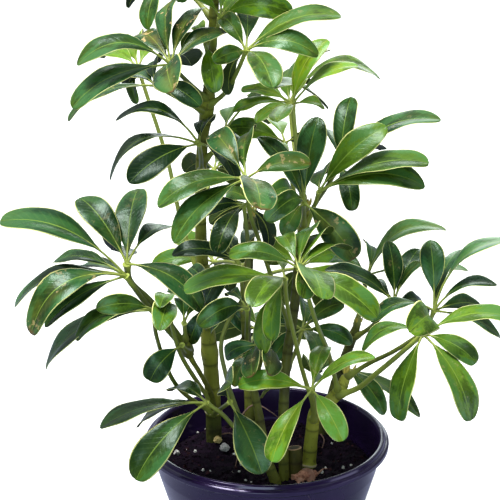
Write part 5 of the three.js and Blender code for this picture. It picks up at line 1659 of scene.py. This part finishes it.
def add_soil():
    rng = np.random.default_rng(SOIL_SEED)
    bed = soil_bed()
    settle(new_object("soil_mix", bed), "soil", "soil")
    grains = grain_tree()
    strewn = strewn_grains_tree(grains)
    for name, skin in (("soil_crumbs", crumb_skin), ("bark_chips", chip_skin)):
        values = {**LOOSE_GRAINS[name], "Material": skin}
        settle(grown(name, bed.copy(), strewn, values), "soil")
    single = marked_grains_tree(grains)
    white = lumps_on_soil(PERLITE, PERLITE_RISE) + list(stray_grains(rng))
    add_grains("perlite", white, single, white_skin, LOOSE_GRAINS["perlite"])
    for name, lumps, rise, skin in (
        ("pale_lumps", PALE_LUMPS, LUMP_RISE, grey_skin),
        ("yellow_lumps", YELLOW_LUMPS, LUMP_RISE, yellow_skin),
        ("root_crown", ORANGE_LUMPS, CROWN_RISE, thick_root_bark),
    ):
        add_grains(name, lumps_on_soil(lumps, rise), single, skin, LOOSE_GRAINS["lumps"])
    add_roots("thin_roots", THIN_ROOTS, thin_root_bark, rng)
    add_roots("orange_roots", THICK_ROOTS, thick_root_bark, rng)


# ---- floor, light and camera -----------------------------------------------------------
def add_floor():
    mesh = bpy.data.meshes.new("studio_floor")
    corners = [(x * FLOOR_REACH, y * FLOOR_REACH, 0) for x, y in ((-1, -1), (1, -1), (1, 1), (-1, 1))]
    mesh.from_pydata(corners, [], [(0, 1, 2, 3)])
    floor = new_object("studio_floor", mesh)
    skin = Finish("pale_floor")
    # In the plant's gloss the floor shows dimmer and bluer, as under a far ceiling.
    mirrored = skin.out("ShaderNodeLightPath", output="Is Glossy Ray")
    paint = skin.blend(mirrored, FLOOR_PAINT, FLOOR_IN_GLOSS)
    mesh.materials.append(skin.done({"Base Color": paint, "Roughness": 0.9}))
    # The pale floor stays out of the light that falls on the plant's undersides.
    floor.visible_diffuse = False
    floor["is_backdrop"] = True


def add_light(name, kind, spot, spread, power, tint):
    """A round softbox of a width in metres, or a sun of a width in degrees."""
    light = bpy.data.lights.new(name, kind)
    if kind == "SUN":
        light.angle = math.radians(spread)
    else:
        light.shape = "DISK"
        light.size = spread
    light.energy = power
    light.color = tint
    lamp = new_object(name, light)
    lamp.location = spot
    lamp.rotation_euler = (Vector(LIT_SPOT) - Vector(spot)).to_track_quat("-Z", "Y").to_euler()


def soft_ceiling():
    """Studio air: bright above the front, dim behind and dark below."""
    world = bpy.data.worlds.new("studio_air")
    world.use_nodes = True
    world.node_tree.nodes.clear()
    wiring = Wiring(world.node_tree)
    way = wiring.out("ShaderNodeTexCoord", output="Generated")
    colour = wiring.blend(way.dot(AIR_BRIGHT_WAY).ramp(*AIR_RAMP), AIR_DIM, AIR_BRIGHT)
    # What is seen past the floor is a plain pale backdrop; it lights nothing.
    seen = wiring.out("ShaderNodeLightPath", output="Is Camera Ray")
    inputs = {"Color": wiring.blend(seen, colour, BACKDROP), "Strength": AIR_STRENGTH}
    wiring.node("ShaderNodeOutputWorld", {"Surface": wiring.out("ShaderNodeBackground", inputs)})
    return world


def add_studio():
    add_floor()
    for name, values in LIGHTS.items():
        add_light(name, *values)
    scene = bpy.context.scene
    scene.world = soft_ceiling()
    scene.view_settings.view_transform = "Standard"
    camera = bpy.data.cameras.new("photo_camera")
    camera.lens = LENS
    camera.sensor_width = SENSOR
    camera.clip_end = CLIP_END
    seat = new_object("photo_camera", camera)
    seat.location = tuple(EYE * MM)
    seat.rotation_euler = (math.pi / 2 - EYE_PITCH, 0.0, 0.0)
    scene.camera = seat


add_pot()
add_soil()
add_canes()
add_buds()
add_leaves()
add_studio()

visual_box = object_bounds()
boxes = {"cad": cad_box, "visual": visual_box}
{name: [list(map(float, corner)) for corner in box] for name, box in boxes.items()}
